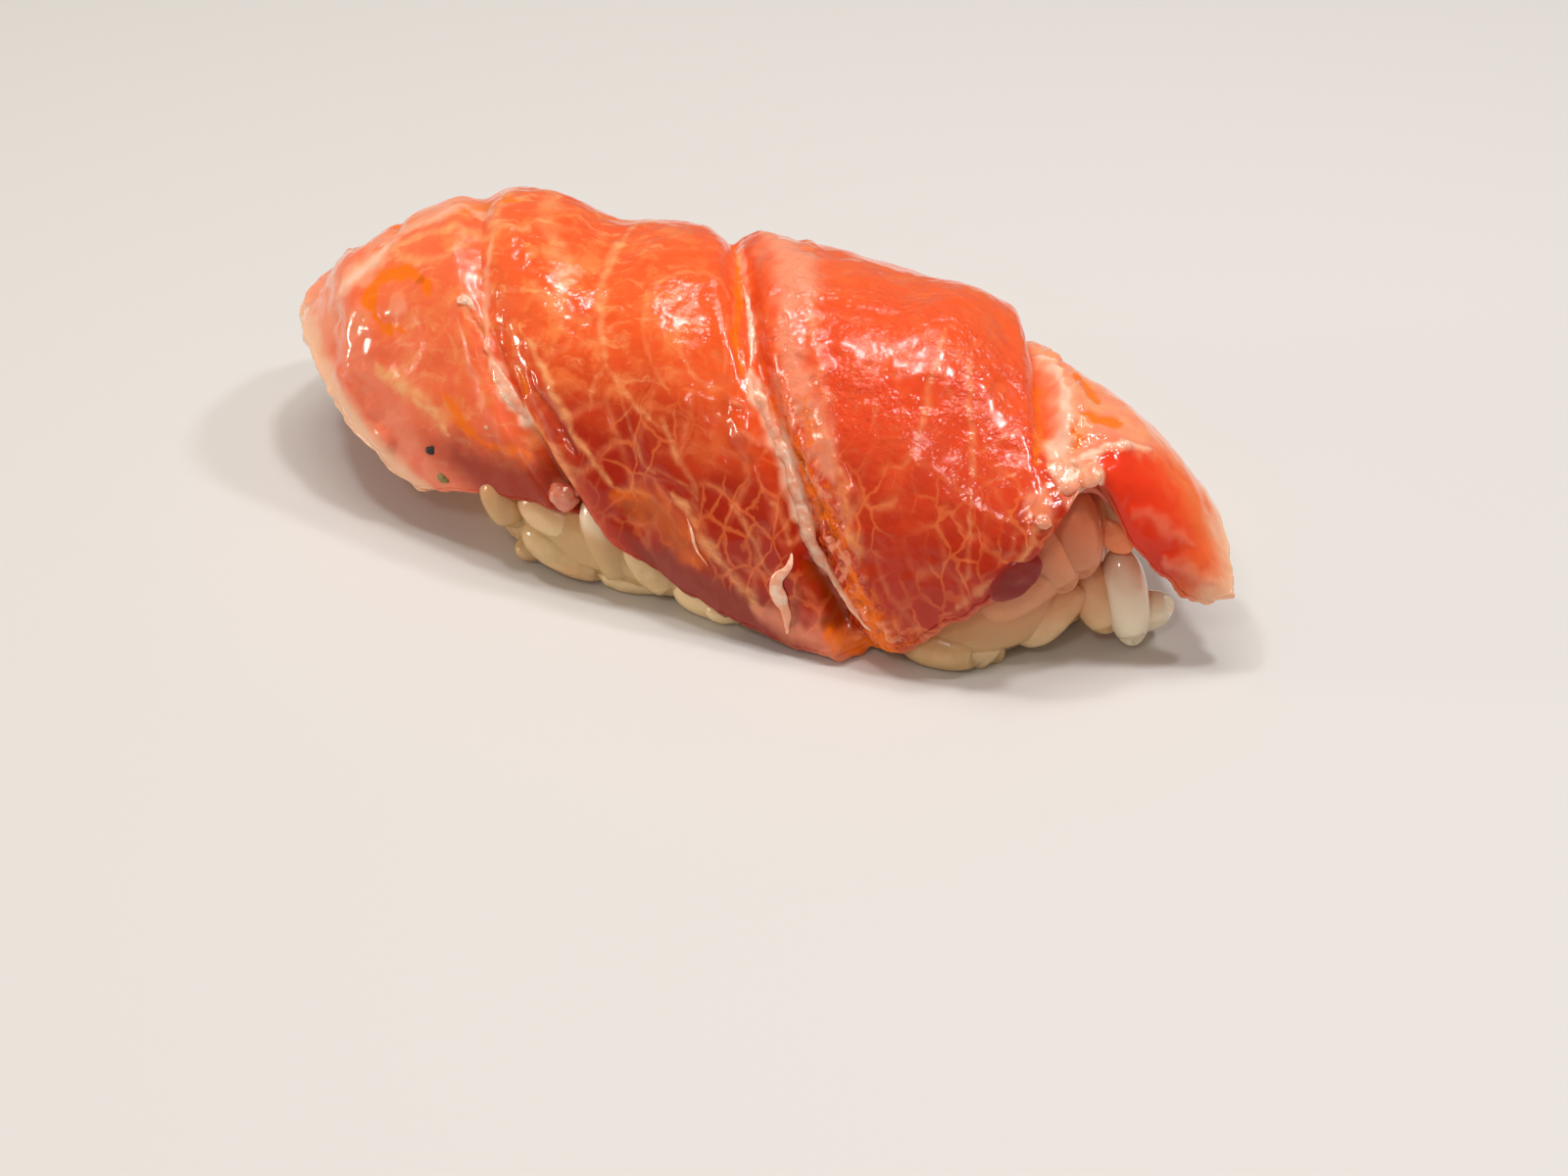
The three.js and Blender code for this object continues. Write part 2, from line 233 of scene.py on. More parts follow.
# Marks on the slice
# A mark is its half width in mm, its strength, how far in mm it stands up or sinks in, and its path.
# A path is places (t, v): t counts segments from the left end, and v is -1 in front and 1 behind.
marks = {
    # soft seams of fat
    "pale": [
        (0.7, 0.6, 0.05, (0.54, -0.18), (0.72, -0.17), (0.9, -0.15), (1.04, -0.15), (1.2, -0.1)),
        (0.6, 0.5, 0.0, (0.51, -0.13), (0.67, -0.27), (0.81, -0.27), (0.95, -0.2)),
        (1.0, 0.45, 0.0, (0.36, 0.3), (0.6, 0.1), (0.9, 0.02), (1.2, 0.06)),
        (0.9, 0.6, 0.05, (1.14, 0.34), (1.09, 0.08), (1.06, -0.08), (1.03, -0.24)),
        (0.6, 0.4, 0.05, (0.66, 0.3), (0.72, 0.05), (0.8, -0.08)),
        (0.9, 0.8, 0.05, (0.34, -0.58), (0.44, -0.65), (0.52, -0.71), (0.57, -0.77)),
        (0.22, 0.35, 0.03, (0.71, -0.6), (0.83, -0.57), (0.87, -0.61), (0.85, -0.67), (0.74, -0.73)),
        (0.22, 0.35, 0.03, (0.74, -0.73), (0.64, -0.72), (0.64, -0.66), (0.71, -0.6)),
        (0.22, 0.4, 0.03, (0.67, -0.5), (0.76, -0.48), (0.79, -0.52), (0.77, -0.57), (0.69, -0.58)),
        (0.34, 0.7, 0.05, (1.12, -0.42), (1.18, -0.52), (1.19, -0.6), (1.22, -0.7), (1.27, -0.78)),
        (1.1, 0.65, 0.15, (0.98, -0.71), (1.07, -0.77), (1.09, -0.85)),
        (0.45, 0.6, 0.04, (1.66, 0.3), (1.58, 0.07), (1.48, -0.17), (1.44, -0.35), (1.43, -0.46)),
        (0.28, 0.5, 0.0, (1.43, -0.46), (1.48, -0.53), (1.56, -0.56)),
        (0.28, 0.45, 0.0, (1.42, -0.47), (1.36, -0.53), (1.31, -0.61)),
        (0.24, 0.45, 0.0, (1.45, -0.53), (1.46, -0.61), (1.47, -0.68), (1.59, -0.67), (1.67, -0.71)),
        (0.28, 0.5, 0.04, (1.64, -0.23), (1.72, -0.17), (1.82, -0.13), (1.91, -0.14), (1.95, -0.2)),
        (0.28, 0.45, 0.04, (1.64, -0.23), (1.6, -0.34), (1.61, -0.43), (1.67, -0.49)),
        (0.22, 0.45, 0.0, (1.78, -0.2), (1.73, -0.3), (1.73, -0.38), (1.78, -0.43), (1.86, -0.42)),
        (0.2, 0.35, 0.0, (1.82, -0.26), (1.79, -0.33), (1.82, -0.39)),
        (0.22, 0.4, 0.0, (1.93, -0.2), (1.9, -0.3), (1.87, -0.4)),
        (1.0, 0.5, 0.0, (1.28, 0.25), (1.26, -0.05), (1.32, -0.22), (1.3, -0.4)),
        (0.9, 0.5, 0.0, (1.2, -0.3), (1.32, -0.36), (1.42, -0.34)),
        (0.3, 0.5, 0.0, (1.6, -0.54), (1.62, -0.62), (1.66, -0.68)),
        (0.3, 0.5, 0.0, (1.76, -0.66), (1.8, -0.71), (1.82, -0.8)),
        (0.3, 0.45, 0.0, (1.9, -0.6), (1.94, -0.66), (1.93, -0.72)),
        (0.55, 0.75, 0.05, (1.56, -0.7), (1.58, -0.74), (1.63, -0.8), (1.69, -0.87), (1.71, -0.92)),
        (0.3, 0.5, 0.0, (1.52, -0.8), (1.46, -0.76), (1.36, -0.76), (1.28, -0.79)),
        (0.8, 0.4, 0.25, (2.24, 0.3), (2.21, -0.05), (2.22, -0.22), (2.22, -0.42)),
        (0.6, 0.5, 0.3, (2.22, -0.4), (2.23, -0.53), (2.22, -0.64), (2.22, -0.75)),
        (0.34, 0.5, 0.0, (2.67, -0.08), (2.61, -0.24), (2.56, -0.37), (2.53, -0.43)),
        (0.22, 0.35, 0.0, (2.53, -0.43), (2.48, -0.48), (2.41, -0.5)),
        (0.32, 0.5, 0.0, (2.75, -0.08), (2.72, -0.24), (2.71, -0.42), (2.67, -0.66)),
        (0.25, 0.35, 0.0, (2.43, -0.33), (2.4, -0.38), (2.36, -0.44)),
        (0.2, 0.4, 0.0, (2.7, -0.43), (2.76, -0.37), (2.83, -0.3), (2.88, -0.25)),
        (0.2, 0.4, 0.0, (2.7, -0.52), (2.76, -0.47), (2.83, -0.43), (2.9, -0.4)),
        (0.5, 0.5, 0.08, (2.9, -0.72), (2.82, -0.83), (2.72, -0.88), (2.58, -0.9), (2.42, -0.93)),
        (0.9, 0.4, 0.0, (3.18, 0.36), (3.3, 0.2), (3.5, 0.12)),
    ],
    # pink, almost clear tissue
    "blush": [
        (1.9, 0.8, 0.3, (2.08, 0.24), (2.13, 0.1), (2.18, -0.05), (2.13, -0.2)),
        (1.3, 0.75, 0.1, (2.12, -0.18), (2.13, -0.3), (2.17, -0.42), (2.2, -0.55)),
        (1.8, 0.75, 0.0, (0.28, 0.04), (0.46, -0.08), (0.62, -0.05), (0.8, 0.02), (0.98, 0.14)),
        (0.9, 0.5, 0.1, (1.02, -0.86), (0.92, -0.91)),
        (1.1, 0.7, 0.1, (0.52, -0.43), (0.6, -0.42)),
        (1.1, 0.8, 0.0, (2.93, -0.5), (2.9, -0.6), (2.88, -0.72)),
        (0.8, 0.7, 0.0, (2.05, -0.34), (2.05, -0.4), (2.07, -0.46)),
        (1.4, 0.65, 0.1, (1.7, -0.9), (1.8, -0.91), (1.9, -0.93), (1.96, -0.96)),
        (0.7, 0.4, 0.1, (3.32, -0.72), (3.44, -0.58), (3.6, -0.5), (3.74, -0.4)),
        (0.8, 0.45, 0.1, (3.56, -0.8), (3.7, -0.7), (3.88, -0.62)),
        (1.6, 0.6, 0.0, (3.14, 0.45), (3.34, 0.28), (3.6, 0.18), (3.8, 0.12)),
    ],
    "white": [
        (1.7, 0.88, 0.0, (0.3, -0.32), (0.4, -0.26), (0.48, -0.21), (0.58, -0.15)),
        (1.6, 0.7, 0.0, (0.5, -0.14), (0.66, -0.09), (0.78, -0.06), (0.9, -0.02), (1.02, -0.04)),
        (0.6, 0.65, 0.08, (1.05, -0.16), (1.01, -0.35), (0.97, -0.46), (0.96, -0.54)),
        (0.9, 1.0, 0.35, (0.94, -0.51), (0.955, -0.58), (0.965, -0.64), (0.99, -0.68), (1.02, -0.71)),
        (0.3, 0.8, 0.25, (0.87, -0.4), (0.92, -0.4), (0.95, -0.44)),
        (0.42, 0.7, 0.1, (2.02, 0.26), (2.0, 0.02), (2.01, -0.1), (2.0, -0.23), (1.97, -0.34)),
        (
            1.05, 1.0, 0.3,
            (1.97, -0.34), (1.96, -0.42), (1.99, -0.49), (2.01, -0.56), (2.01, -0.63), (1.99, -0.7),
        ),
        (0.5, 0.9, 0.2, (1.99, -0.69), (2.0, -0.76), (2.06, -0.79), (2.09, -0.85)),
        (0.45, 0.5, 0.2, (1.86, -0.43), (1.9, -0.44), (1.94, -0.46)),
        (0.4, 0.45, 0.2, (1.84, -0.53), (1.9, -0.5), (1.95, -0.53)),
        (
            1.1, 0.95, 0.45,
            (3.05, 0.25), (3.08, 0.12), (3.09, -0.06), (3.05, -0.2), (3.0, -0.32), (2.97, -0.44),
        ),
        (0.7, 0.95, 0.35, (3.0, -0.4), (3.09, -0.36), (3.18, -0.32), (3.28, -0.25), (3.37, -0.16)),
        (1.5, 1.0, 0.6, (2.96, -0.42), (3.01, -0.5), (3.05, -0.6), (3.1, -0.7)),
        (0.5, 0.4, 0.0, (2.91, -0.5), (2.87, -0.57), (2.87, -0.66)),
        (0.6, 0.5, 0.0, (2.88, -0.66), (2.9, -0.76)),
        (0.7, 0.4, 0.4, (1.94, -0.91), (2.0, -0.93)),
        (0.6, 0.8, 0.12, (3.33, -0.2), (3.4, -0.13), (3.46, -0.08), (3.53, -0.03)),
    ],
    # orange glaze
    "pool": [
        (
            0.65, 1.0, -0.05,
            (0.445, -0.45), (0.445, -0.37), (0.475, -0.32), (0.56, -0.31), (0.64, -0.315), (0.7, -0.335),
        ),
        (0.5, 1.0, -0.05, (0.68, -0.33), (0.72, -0.36), (0.72, -0.4)),
        (0.65, 1.0, -0.05, (0.445, -0.44), (0.46, -0.475), (0.5, -0.485), (0.54, -0.5)),
        (0.45, 0.6, 0.0, (0.64, -0.66), (0.66, -0.72), (0.68, -0.77), (0.76, -0.785)),
        (0.5, 0.5, -0.1, (0.74, -0.79), (0.85, -0.79), (0.93, -0.8)),
        (1.1, 0.75, 0.0, (0.9, -0.05), (1.0, 0.02), (1.12, 0.0)),
        (1.0, 0.4, 0.0, (0.5, 0.12), (0.6, -0.02), (0.78, -0.08)),
        (0.36, 0.9, -0.35, (1.06, -0.52), (1.07, -0.59), (1.04, -0.64)),
        (0.9, 1.0, -0.25, (3.19, 0.18), (3.24, 0.13), (3.28, 0.07)),
        (0.8, 1.0, -0.2, (3.18, -0.04), (3.29, -0.04), (3.38, 0.02)),
        (0.6, 1.0, -0.2, (3.11, -0.14), (3.13, -0.25)),
        (0.6, 0.85, -0.25, (2.93, 0.14), (2.98, 0.0), (2.97, -0.14), (2.95, -0.26), (2.92, -0.36)),
        (0.5, 0.4, -0.05, (2.93, -0.58), (2.9, -0.62), (2.86, -0.66)),
        (0.4, 0.95, -0.35, (1.99, 0.2), (1.98, 0.0), (1.97, -0.14), (1.94, -0.24), (1.93, -0.37)),
        (
            0.6, 0.85, -0.15,
            (1.99, -0.4), (2.05, -0.49), (2.09, -0.56), (2.12, -0.64), (2.15, -0.73), (2.17, -0.82),
        ),
        (1.6, 0.35, 0.0, (2.4, 0.16), (2.6, 0.12), (2.8, 0.14)),
        (1.2, 0.75, 0.0, (2.13, -0.78), (2.16, -0.84), (2.18, -0.9), (2.12, -0.97)),
        (1.2, 0.75, 0.0, (1.93, -0.9), (1.98, -0.95), (2.08, -0.96)),
        (1.9, 0.5, 0.0, (1.28, -0.8), (1.4, -0.78), (1.5, -0.8), (1.54, -0.85)),
    ],
    # darker glaze, and painted shade in the cracks and creases these marks sink into
    "brownGlazeAndShade": [
        (0.38, 0.75, -0.25, (2.04, -0.46), (2.09, -0.56), (2.12, -0.66), (2.15, -0.77)),
        (0.9, 0.85, -0.35, (1.95, -0.74), (1.97, -0.8), (1.98, -0.86), (1.92, -0.9)),
        (0.8, 0.6, -0.1, (1.9, -0.8), (1.88, -0.85), (1.8, -0.92)),
        (1.8, 0.62, 0.0, (1.3, -0.81), (1.42, -0.8), (1.52, -0.84)),
        (1.3, 0.45, 0.0, (1.52, -0.8), (1.6, -0.88)),
        (0.35, 0.6, -0.25, (1.11, -0.56), (1.15, -0.64), (1.19, -0.74)),
        (0.22, 0.5, -0.1, (1.07, -0.3), (1.04, -0.36), (1.02, -0.42)),
        (0.2, 0.5, -0.15, (0.9, -0.43), (0.94, -0.46), (0.95, -0.51)),
        (0.3, 0.5, -0.2, (2.97, -0.18), (2.96, -0.28), (2.92, -0.38)),
        (0.24, 0.5, -0.15, (1.97, -0.16), (1.94, -0.25), (1.93, -0.36)),
        (0.5, 0.6, 0.0, (0.69, -0.335), (0.71, -0.36)),
        (0.5, 0.5, -0.2, (2.14, -0.8), (2.17, -0.87), (2.14, -0.95)),
    ],
    # relief alone
    "relief": [
        (
            2.0, 1.0, 0.6,
            (0.26, 0.1), (0.3, -0.15), (0.33, -0.36), (0.24, -0.54), (0.13, -0.68), (0.12, -0.82),
        ),
        (2.6, 1.0, 0.8, (0.14, 0.45), (0.12, 0.18), (0.1, -0.08)),
        (0.8, 1.0, -0.5, (0.54, 0.25), (0.56, 0.02), (0.54, -0.12)),
        (1.5, 1.0, 0.3, (1.06, 0.0), (1.05, -0.15), (1.01, -0.35), (0.98, -0.52)),
        (1.6, 1.0, 0.5, (2.05, 0.6), (2.04, 0.3), (2.03, 0.05)),
        (1.0, 1.0, 0.35, (2.05, 0.0), (2.06, -0.2), (2.04, -0.35)),
        (0.9, 1.0, 0.3, (1.88, -0.46), (1.91, -0.54)),
    ],
}


brush = {
    "reach": 2.6,  # widths past which a mark no longer shows
    "drift": (0.5, 0.7),  # how far its line wanders: the most in mm, and for its width
    "wobble": 0.45,  # how unevenly wide it is
    "tip": 0.35,  # share of its width at the ends
}


def onSlice(t, v):
    t = np.asarray(t, float)
    v = np.asarray(v, float)
    x = alongAt(t, v)
    normal = outwardAt(x, v)
    return drapeAt(x, v) + normal * liftAt(t, x, v)[..., None], normal


def pathOnSlice(path, steps=40):
    curve = through([[i, *point] for i, point in enumerate(path)])
    route = curve(np.linspace(0, len(path) - 1, steps))
    return onSlice(route[:, 0], route[:, 1])


def nearPath(points, route):
    # each point's distance from a route, and how far along the route that is
    gap = np.full(len(points), 1e9)
    share = np.zeros(len(points))
    for i in range(len(route) - 1):
        step = route[i + 1] - route[i]
        part = np.clip((points - route[i]) @ step / (step @ step), 0, 1)
        away = np.linalg.norm(points - route[i] - part[:, None] * step, axis=1)
        closer = away < gap
        gap[closer] = away[closer]
        share[closer] = (i + part[closer]) / (len(route) - 1)
    return gap, share


def coverOf(points, group):
    # how strongly a group of marks covers each point, and how far it lifts it
    cover = np.zeros(len(points))
    lift = np.zeros(len(points))
    mostDrift, drift = brush["drift"]
    for number, (width, strength, raised, *path) in enumerate(marks[group]):
        route = pathOnSlice(path)[0]
        reach = width * brush["reach"]
        near = ((points > route.min(0) - reach) & (points < route.max(0) + reach)).all(1)
        close = points[near]
        stray = np.stack([cloud(close, 1.3, number * 2.1 + k) for k in (0.3, 5.3, 9.3)], -1)
        gap, share = nearPath(close + min(mostDrift, drift * width) * stray, route)
        wobble = 1 + brush["wobble"] * cloud(close, 2.2, number * 1.7)
        taper = brush["tip"] + (1 - brush["tip"]) * np.sin(math.pi * share) ** 0.6
        amount = hump(gap, width * wobble * taper)
        cover[near] = np.maximum(cover[near], strength * amount)
        lift[near] += raised * amount
    return cover, lift


# The net of thin fat between the muscle's cells
net = {
    "sparse": 4.8,  # spacing in mm where the cells are wide
    "dense": 2.3,
    "warp": 0.5,
    "stretch": 0.8,  # cells are longer down the slope
    "tries": 26000,
    "crowding": 0.72,  # how close two cells may come, as a share of the spacing squared
    "seed": 5,
}


def netSpacing(t, v):
    low = smoothStep(0.36, 0.62, -v)
    body = smoothStep(1.1, 1.4, t) * (1 - smoothStep(2.86, 3.0, t))
    return net["sparse"] + (net["dense"] - net["sparse"]) * low * body


def netLines(x, arc, t, v):
    # distance in mm from the line between two cells, and that line's own strength
    draw = random.Random(net["seed"])
    chart = np.stack([x, arc * net["stretch"], 0 * x], -1)
    chart = chart + net["warp"] * np.stack([cloud(chart, 3.0, 1.1), cloud(chart, 3.0, 8.3), 0 * x], -1)
    order = list(range(len(x)))
    draw.shuffle(order)
    bucket = 1.2
    taken = {}
    cells = []
    spacing = netSpacing(t, v)
    for i in order[: net["tries"]]:
        spot = chart[i]
        home = [int(c // bucket) for c in spot[:2]]
        span = int(spacing[i] // bucket) + 1
        closest = spacing[i] ** 2 * net["crowding"]
        nearby = (
            other
            for a in range(home[0] - span, home[0] + span + 1)
            for b in range(home[1] - span, home[1] + span + 1)
            for other in taken.get((a, b), ())
        )
        if all((other[0] - spot[0]) ** 2 + (other[1] - spot[1]) ** 2 >= closest for other in nearby):
            taken.setdefault(tuple(home), []).append(spot)
            cells.append(spot)
    tree = KDTree(len(cells))
    for i, cell in enumerate(cells):
        tree.insert(cell, i)
    tree.balance()
    strength = [[draw.random() for i in range(16)] for j in range(16)]
    away = np.empty(len(x))
    power = np.empty(len(x))
    for i, spot in enumerate(chart):
        (first, one, gapOne), (second, two, gapTwo) = tree.find_n(spot, 2)
        away[i] = (gapTwo**2 - gapOne**2) / (2 * (first - second).length)
        low, high = sorted((one, two))
        power[i] = strength[(low * 7 + high) % 16][(high * 3) % 16]
    return away, power


# Meshes in mm
def addShape(operator, **settings):
    bpy.ops.object.select_all(action="DESELECT")
    operator(**settings)
    bpy.ops.object.shade_smooth()
    return bpy.context.object


def addBall(segments, rings, **settings):
    add = bpy.ops.mesh.primitive_uv_sphere_add
    return addShape(add, segments=segments, ring_count=rings, radius=1, **settings)


def verticesOf(piece):
    spots = np.empty(len(piece.data.vertices) * 3)
    piece.data.vertices.foreach_get("co", spots)
    return spots.reshape(-1, 3)


def moveVertices(piece, spots, lowest=-np.inf):
    # to spots in mm, none of them under the lowest height
    spots = np.maximum(spots, (-np.inf, -np.inf, lowest)) * mm
    piece.data.vertices.foreach_set("co", spots.ravel())
    piece.data.update()


def storeNumbers(piece, **numbers):
    # numbers for the finishes to read, each one for the whole piece or one a vertex
    count = len(piece.data.vertices)
    for name, values in numbers.items():
        layer = piece.data.attributes.new(name, "FLOAT", "POINT")
        layer.data.foreach_set("value", np.array(np.broadcast_to(values, count), np.float32))


def closeMesh(*steps):
    # runs steps in edit mode on the whole of the active mesh, and turns its faces outwards
    bpy.ops.object.mode_set(mode="EDIT")
    bpy.ops.mesh.select_mode(type="EDGE")
    bpy.ops.mesh.select_all(action="SELECT")
    for step in steps:
        step()
    bpy.ops.mesh.select_all(action="SELECT")
    bpy.ops.mesh.normals_make_consistent(inside=False)
    bpy.ops.object.mode_set(mode="OBJECT")
    bpy.ops.object.shade_smooth()


def poseOf(centre, along, outward):
    side = outward.cross(along).normalized()
    forward = side.cross(outward).normalized()
    turn = Matrix((forward, side, outward)).transposed().to_4x4()
    return Matrix.Translation(centre * mm) @ turn


def joinAs(pieces, name, material):
    bpy.ops.object.select_all(action="DESELECT")
    for piece in pieces:
        piece.select_set(True)
    bpy.context.view_layer.objects.active = pieces[0]
    bpy.ops.object.join()
    joined = bpy.context.object
    joined.name = joined.data.name = name
    joined.data.materials.append(material)
    return joined


# The slice
slicePiece = {
    "columns": 372,
    "rows": 222,
    "insideColumns": 96,
    "insideRows": 60,
    "insideShare": (0.965, 0.93),  # how far the inner face reaches along and across
    "rimSteps": 7,
    "rimInset": (0.035, 0.035),  # share of a segment, and of half the width
    "rimRound": 0.42,  # how far the rim bulges, for its thickness
    "rimTurn": 0.86,  # share of a half turn
    "ragged": (0.36, 0.14),  # how uneven the rim's bulge is, coarse and fine
    "swell": 0.2,
    "ripple": 0.07,
    "wander": 0.55,  # how far the outline strays, in mm
    "fray": 0.2,
    "torn": 0.3,
    "netSunk": 0.1,
    "lowest": (0.15, 0.3),  # height above the table of the outer and the inner face
}


def sliceSpots(flat):
    # t and v for a flat grid, kept inside the rim
    endInset, edgeInset = slicePiece["rimInset"]
    t = np.clip(flat[:, 0] * 2 + 2, endInset, 4 - endInset)
    return t, np.clip(flat[:, 1], edgeInset - 1, 1 - edgeInset)


def arcLength(x, v):
    # length over the drape from the ridge, negative towards the front, in mm
    steps = 24
    total = np.zeros_like(x)
    previous = drapeAt(x, np.zeros_like(v))
    for i in range(1, steps + 1):
        current = drapeAt(x, v * i / steps)
        total = total + np.linalg.norm(current - previous, axis=-1)
        previous = current
    return total * np.sign(v)


def creaseRelief(x, v):
    # the muscle blocks roll over into the creases
    left, middle, tail = (x - foldAt[name](v) for name in ("left", "middle", "tail"))
    front = smoothStep(0.45, -0.1, v)
    foot = smoothStep(-0.55, -0.75, v)
    rolls = (  # height, distance from its line, width
        (front * 0.25, left + 1.9, 1.1),
        (foot * -0.35, left, 0.5),
        ((1 - front) * 0.25, left, 2.4),
        (smoothStep(0.3, -0.1, v) * 0.4, middle + 2.1, 1.1),
        ((1 - front) * 0.6, middle - 0.8, 1.5),
        (front * -0.35, tail, 0.6),
        (0.35, tail + 2.0, 1.2),
    )
    return sum(height * hump(away, width) for height, away, width in rolls)


def dressFlesh(surface, t, v, x, arc):
    # how far each place is lifted off the drape, and what the finish finds there
    ripple = slicePiece["ripple"] * (0.35 + 0.65 * smoothStep(0.7, 1.05, t))
    lift = slicePiece["swell"] * cloud(surface, 5.0, 3.1) + ripple * cloud(surface, 1.5, 7.7)
    lift = lift + creaseRelief(x, v)
    paint = {}
    for group in marks:
        paint[group], raised = coverOf(surface, group)
        lift = lift + raised
    del paint["relief"]
    # torn, mashed tissue right of the middle crease and at the tail's root
    paint["torn"] = hump(x - foldAt["middle"](v) - 2.0, 1.9, 4) * smoothStep(-0.3, -0.42, v)
    root = hump(x - foldAt["tail"](v) - 2.2, 2.2, 4) * smoothStep(-0.4, -0.25, v)
    lift = lift + slicePiece["torn"] * np.maximum(paint["torn"], root) * cloud(surface, 1.1, 6.6, 3)
    away, power = netLines(x, arc, t, v)
    patchy = 0.35 + 0.65 * smoothStep(-0.5, 0.4, cloud(surface, 2.6, 4.4))
    low = smoothStep(0.3, 0.55, -v)
    strong = (0.2 + 0.8 * smoothStep(0.1, 0.9, power)) * patchy * (0.45 + 0.55 * low)
    strong = strong * smoothStep(0.35, 0.75, t) * (1 - smoothStep(2.92, 3.04, t))
    paint["net"] = strong * hump(away, 0.14 + 0.12 * power)
    return lift - slicePiece["netSunk"] * paint["net"], paint


def roundRim(surface, normal, lift, roll, t, v, x):
    # the outer face, carried on out along the sheet and down through its thickness
    step = 0.01
    toEnd = -unit(onSlice(t + np.where(t < 2, step, -step), v)[0] - surface)
    toEdge = -unit(onSlice(t, v + np.where(v < 0, step, -step))[0] - surface)
    outwards = toEnd * roll[:, :1] + toEdge * roll[:, 1:]
    outwards = outwards / np.maximum(np.linalg.norm(outwards, axis=1, keepdims=True), 1e-6)
    turned = roll.max(1)[:, None] * math.pi * slicePiece["rimTurn"]
    thick = thicknessAt(x, v)[:, None]
    coarse, fine = slicePiece["ragged"]
    ragged = 1 + coarse * cloud(surface, 1.6, 2.9)[:, None] + fine * cloud(surface, 0.5, 6.1)[:, None]
    body = surface + normal * (lift[:, None] * np.cos(turned * 0.5) - (1 - np.cos(turned)) / 2 * thick)
    # a knife's and fingers' uneven outline, strongest near the rim
    endNearness = np.maximum(1 - t / 0.4, 0) + np.maximum((t - 3.6) / 0.4, 0)
    edgeNearness = np.maximum((np.abs(v) - 0.85) / 0.15, 0)
    drift = slicePiece["wander"] * cloud(surface, 3.0, 5.2, 3)
    drift = drift + slicePiece["fray"] * cloud(surface, 0.9, 1.9, 3)
    body = body + drift[:, None] * (toEnd * endNearness[:, None] + toEdge * edgeNearness[:, None])
    return body + outwards * np.sin(turned) * thick * slicePiece["rimRound"] * ragged


def paintChart(piece, across, down):
    # the UV map holds the flat slice, 100 mm to one
    layer = piece.data.uv_layers[0]
    layer.name = "flesh"
    corners = np.empty(len(piece.data.loops), int)
    piece.data.loops.foreach_get("vertex_index", corners)
    chart = np.stack([across, down], -1)[corners] / 100 + 0.5
    layer.data.foreach_set("uv", chart.astype(np.float32).ravel())


def addSheet(columns, rows):
    sheet = addShape(bpy.ops.mesh.primitive_grid_add, x_subdivisions=columns, y_subdivisions=rows, size=2)
    return sheet, verticesOf(sheet)[:, :2]


def buildSlice():
    outer, flat = addSheet(slicePiece["columns"], slicePiece["rows"])
    limits = 1 - 2 * slicePiece["rimSteps"] / np.array([slicePiece["columns"], slicePiece["rows"]])
    roll = np.maximum(np.abs(flat) - limits, 0) / (1 - limits)
    t, v = sliceSpots(np.clip(flat / limits, -1, 1))
    x = alongAt(t, v)
    surface, normal = onSlice(t, v)
    arc = arcLength(x, v)
    lift, paint = dressFlesh(surface, t, v, x, arc)
    body = roundRim(surface, normal, lift, roll, t, v, x)
    lowestOuter, lowestInner = slicePiece["lowest"]
    moveVertices(outer, body, lowestOuter)
    storeNumbers(outer, **paint, segment=t, crosswise=v, outerFace=1, rim=roll.max(1))
    paintChart(outer, x, arc + roll[:, 1] * 1.5 * np.sign(v))
    inner, flat = addSheet(slicePiece["insideColumns"], slicePiece["insideRows"])
    t, v = sliceSpots(flat * slicePiece["insideShare"])
    x = alongAt(t, v)
    inside = drapeAt(x, v) - outwardAt(x, v) * thicknessAt(x, v)[:, None]
    moveVertices(inner, inside, lowestInner)
    storeNumbers(inner, **dict.fromkeys(paint, 0), segment=t, crosswise=v, outerFace=0, rim=1)
    paintChart(inner, x, arcLength(x, v))
    piece = joinAs([outer, inner], "tunaFlesh", fleshFinish())
    closeMesh(bpy.ops.mesh.region_to_loop, bpy.ops.mesh.bridge_edge_loops)
    return piece


# Strands, lumps and flecks that stand on the slice
# A strand is its half width and half height in mm, how far its middle sits above the flesh,
# how lumpy it is, and its path.
sinewStrands = [
    ((0.75, 0.32), -0.03, 0.15, (0.945, -0.55), (0.96, -0.61), (0.97, -0.65), (1.0, -0.69)),
    ((0.26, 0.1), -0.02, 0.5, (0.86, -0.41), (0.89, -0.4), (0.92, -0.4), (0.94, -0.42)),
    ((0.3, 0.12), -0.02, 0.6, (2.0, -0.06), (2.01, -0.14), (1.99, -0.24), (1.965, -0.34)),
    ((0.6, 0.28), 0.03, 0.6, (1.96, -0.34), (1.965, -0.43), (1.99, -0.5), (2.01, -0.56), (2.01, -0.64)),
    ((0.62, 0.3), 0.03, 0.6, (2.01, -0.6), (2.0, -0.66), (1.99, -0.73), (2.02, -0.77)),
    ((0.42, 0.22), 0.03, 0.5, (2.0, -0.74), (2.03, -0.78), (2.06, -0.81), (2.09, -0.86)),
    (
        (0.46, 0.18), 0.14, 0.5,
        (1.93, -0.73), (1.9, -0.77), (1.84, -0.8), (1.81, -0.85), (1.81, -0.89), (1.77, -0.94),
    ),
    ((0.11, 0.09), 0.08, 0.3, (1.57, -0.75), (1.57, -0.78), (1.56, -0.81), (1.58, -0.84)),
    ((0.16, 0.1), 0.05, 0.3, (2.09, -0.84), (2.1, -0.87), (2.12, -0.89)),
]
fatLumps = [
    ((1.6, 0.55), -0.3, 0.1, (2.94, -0.36), (2.98, -0.42), (3.03, -0.49), (3.07, -0.56)),
    ((1.1, 0.6), -0.12, 0.08, (3.02, -0.5), (3.08, -0.6), (3.13, -0.68)),
]
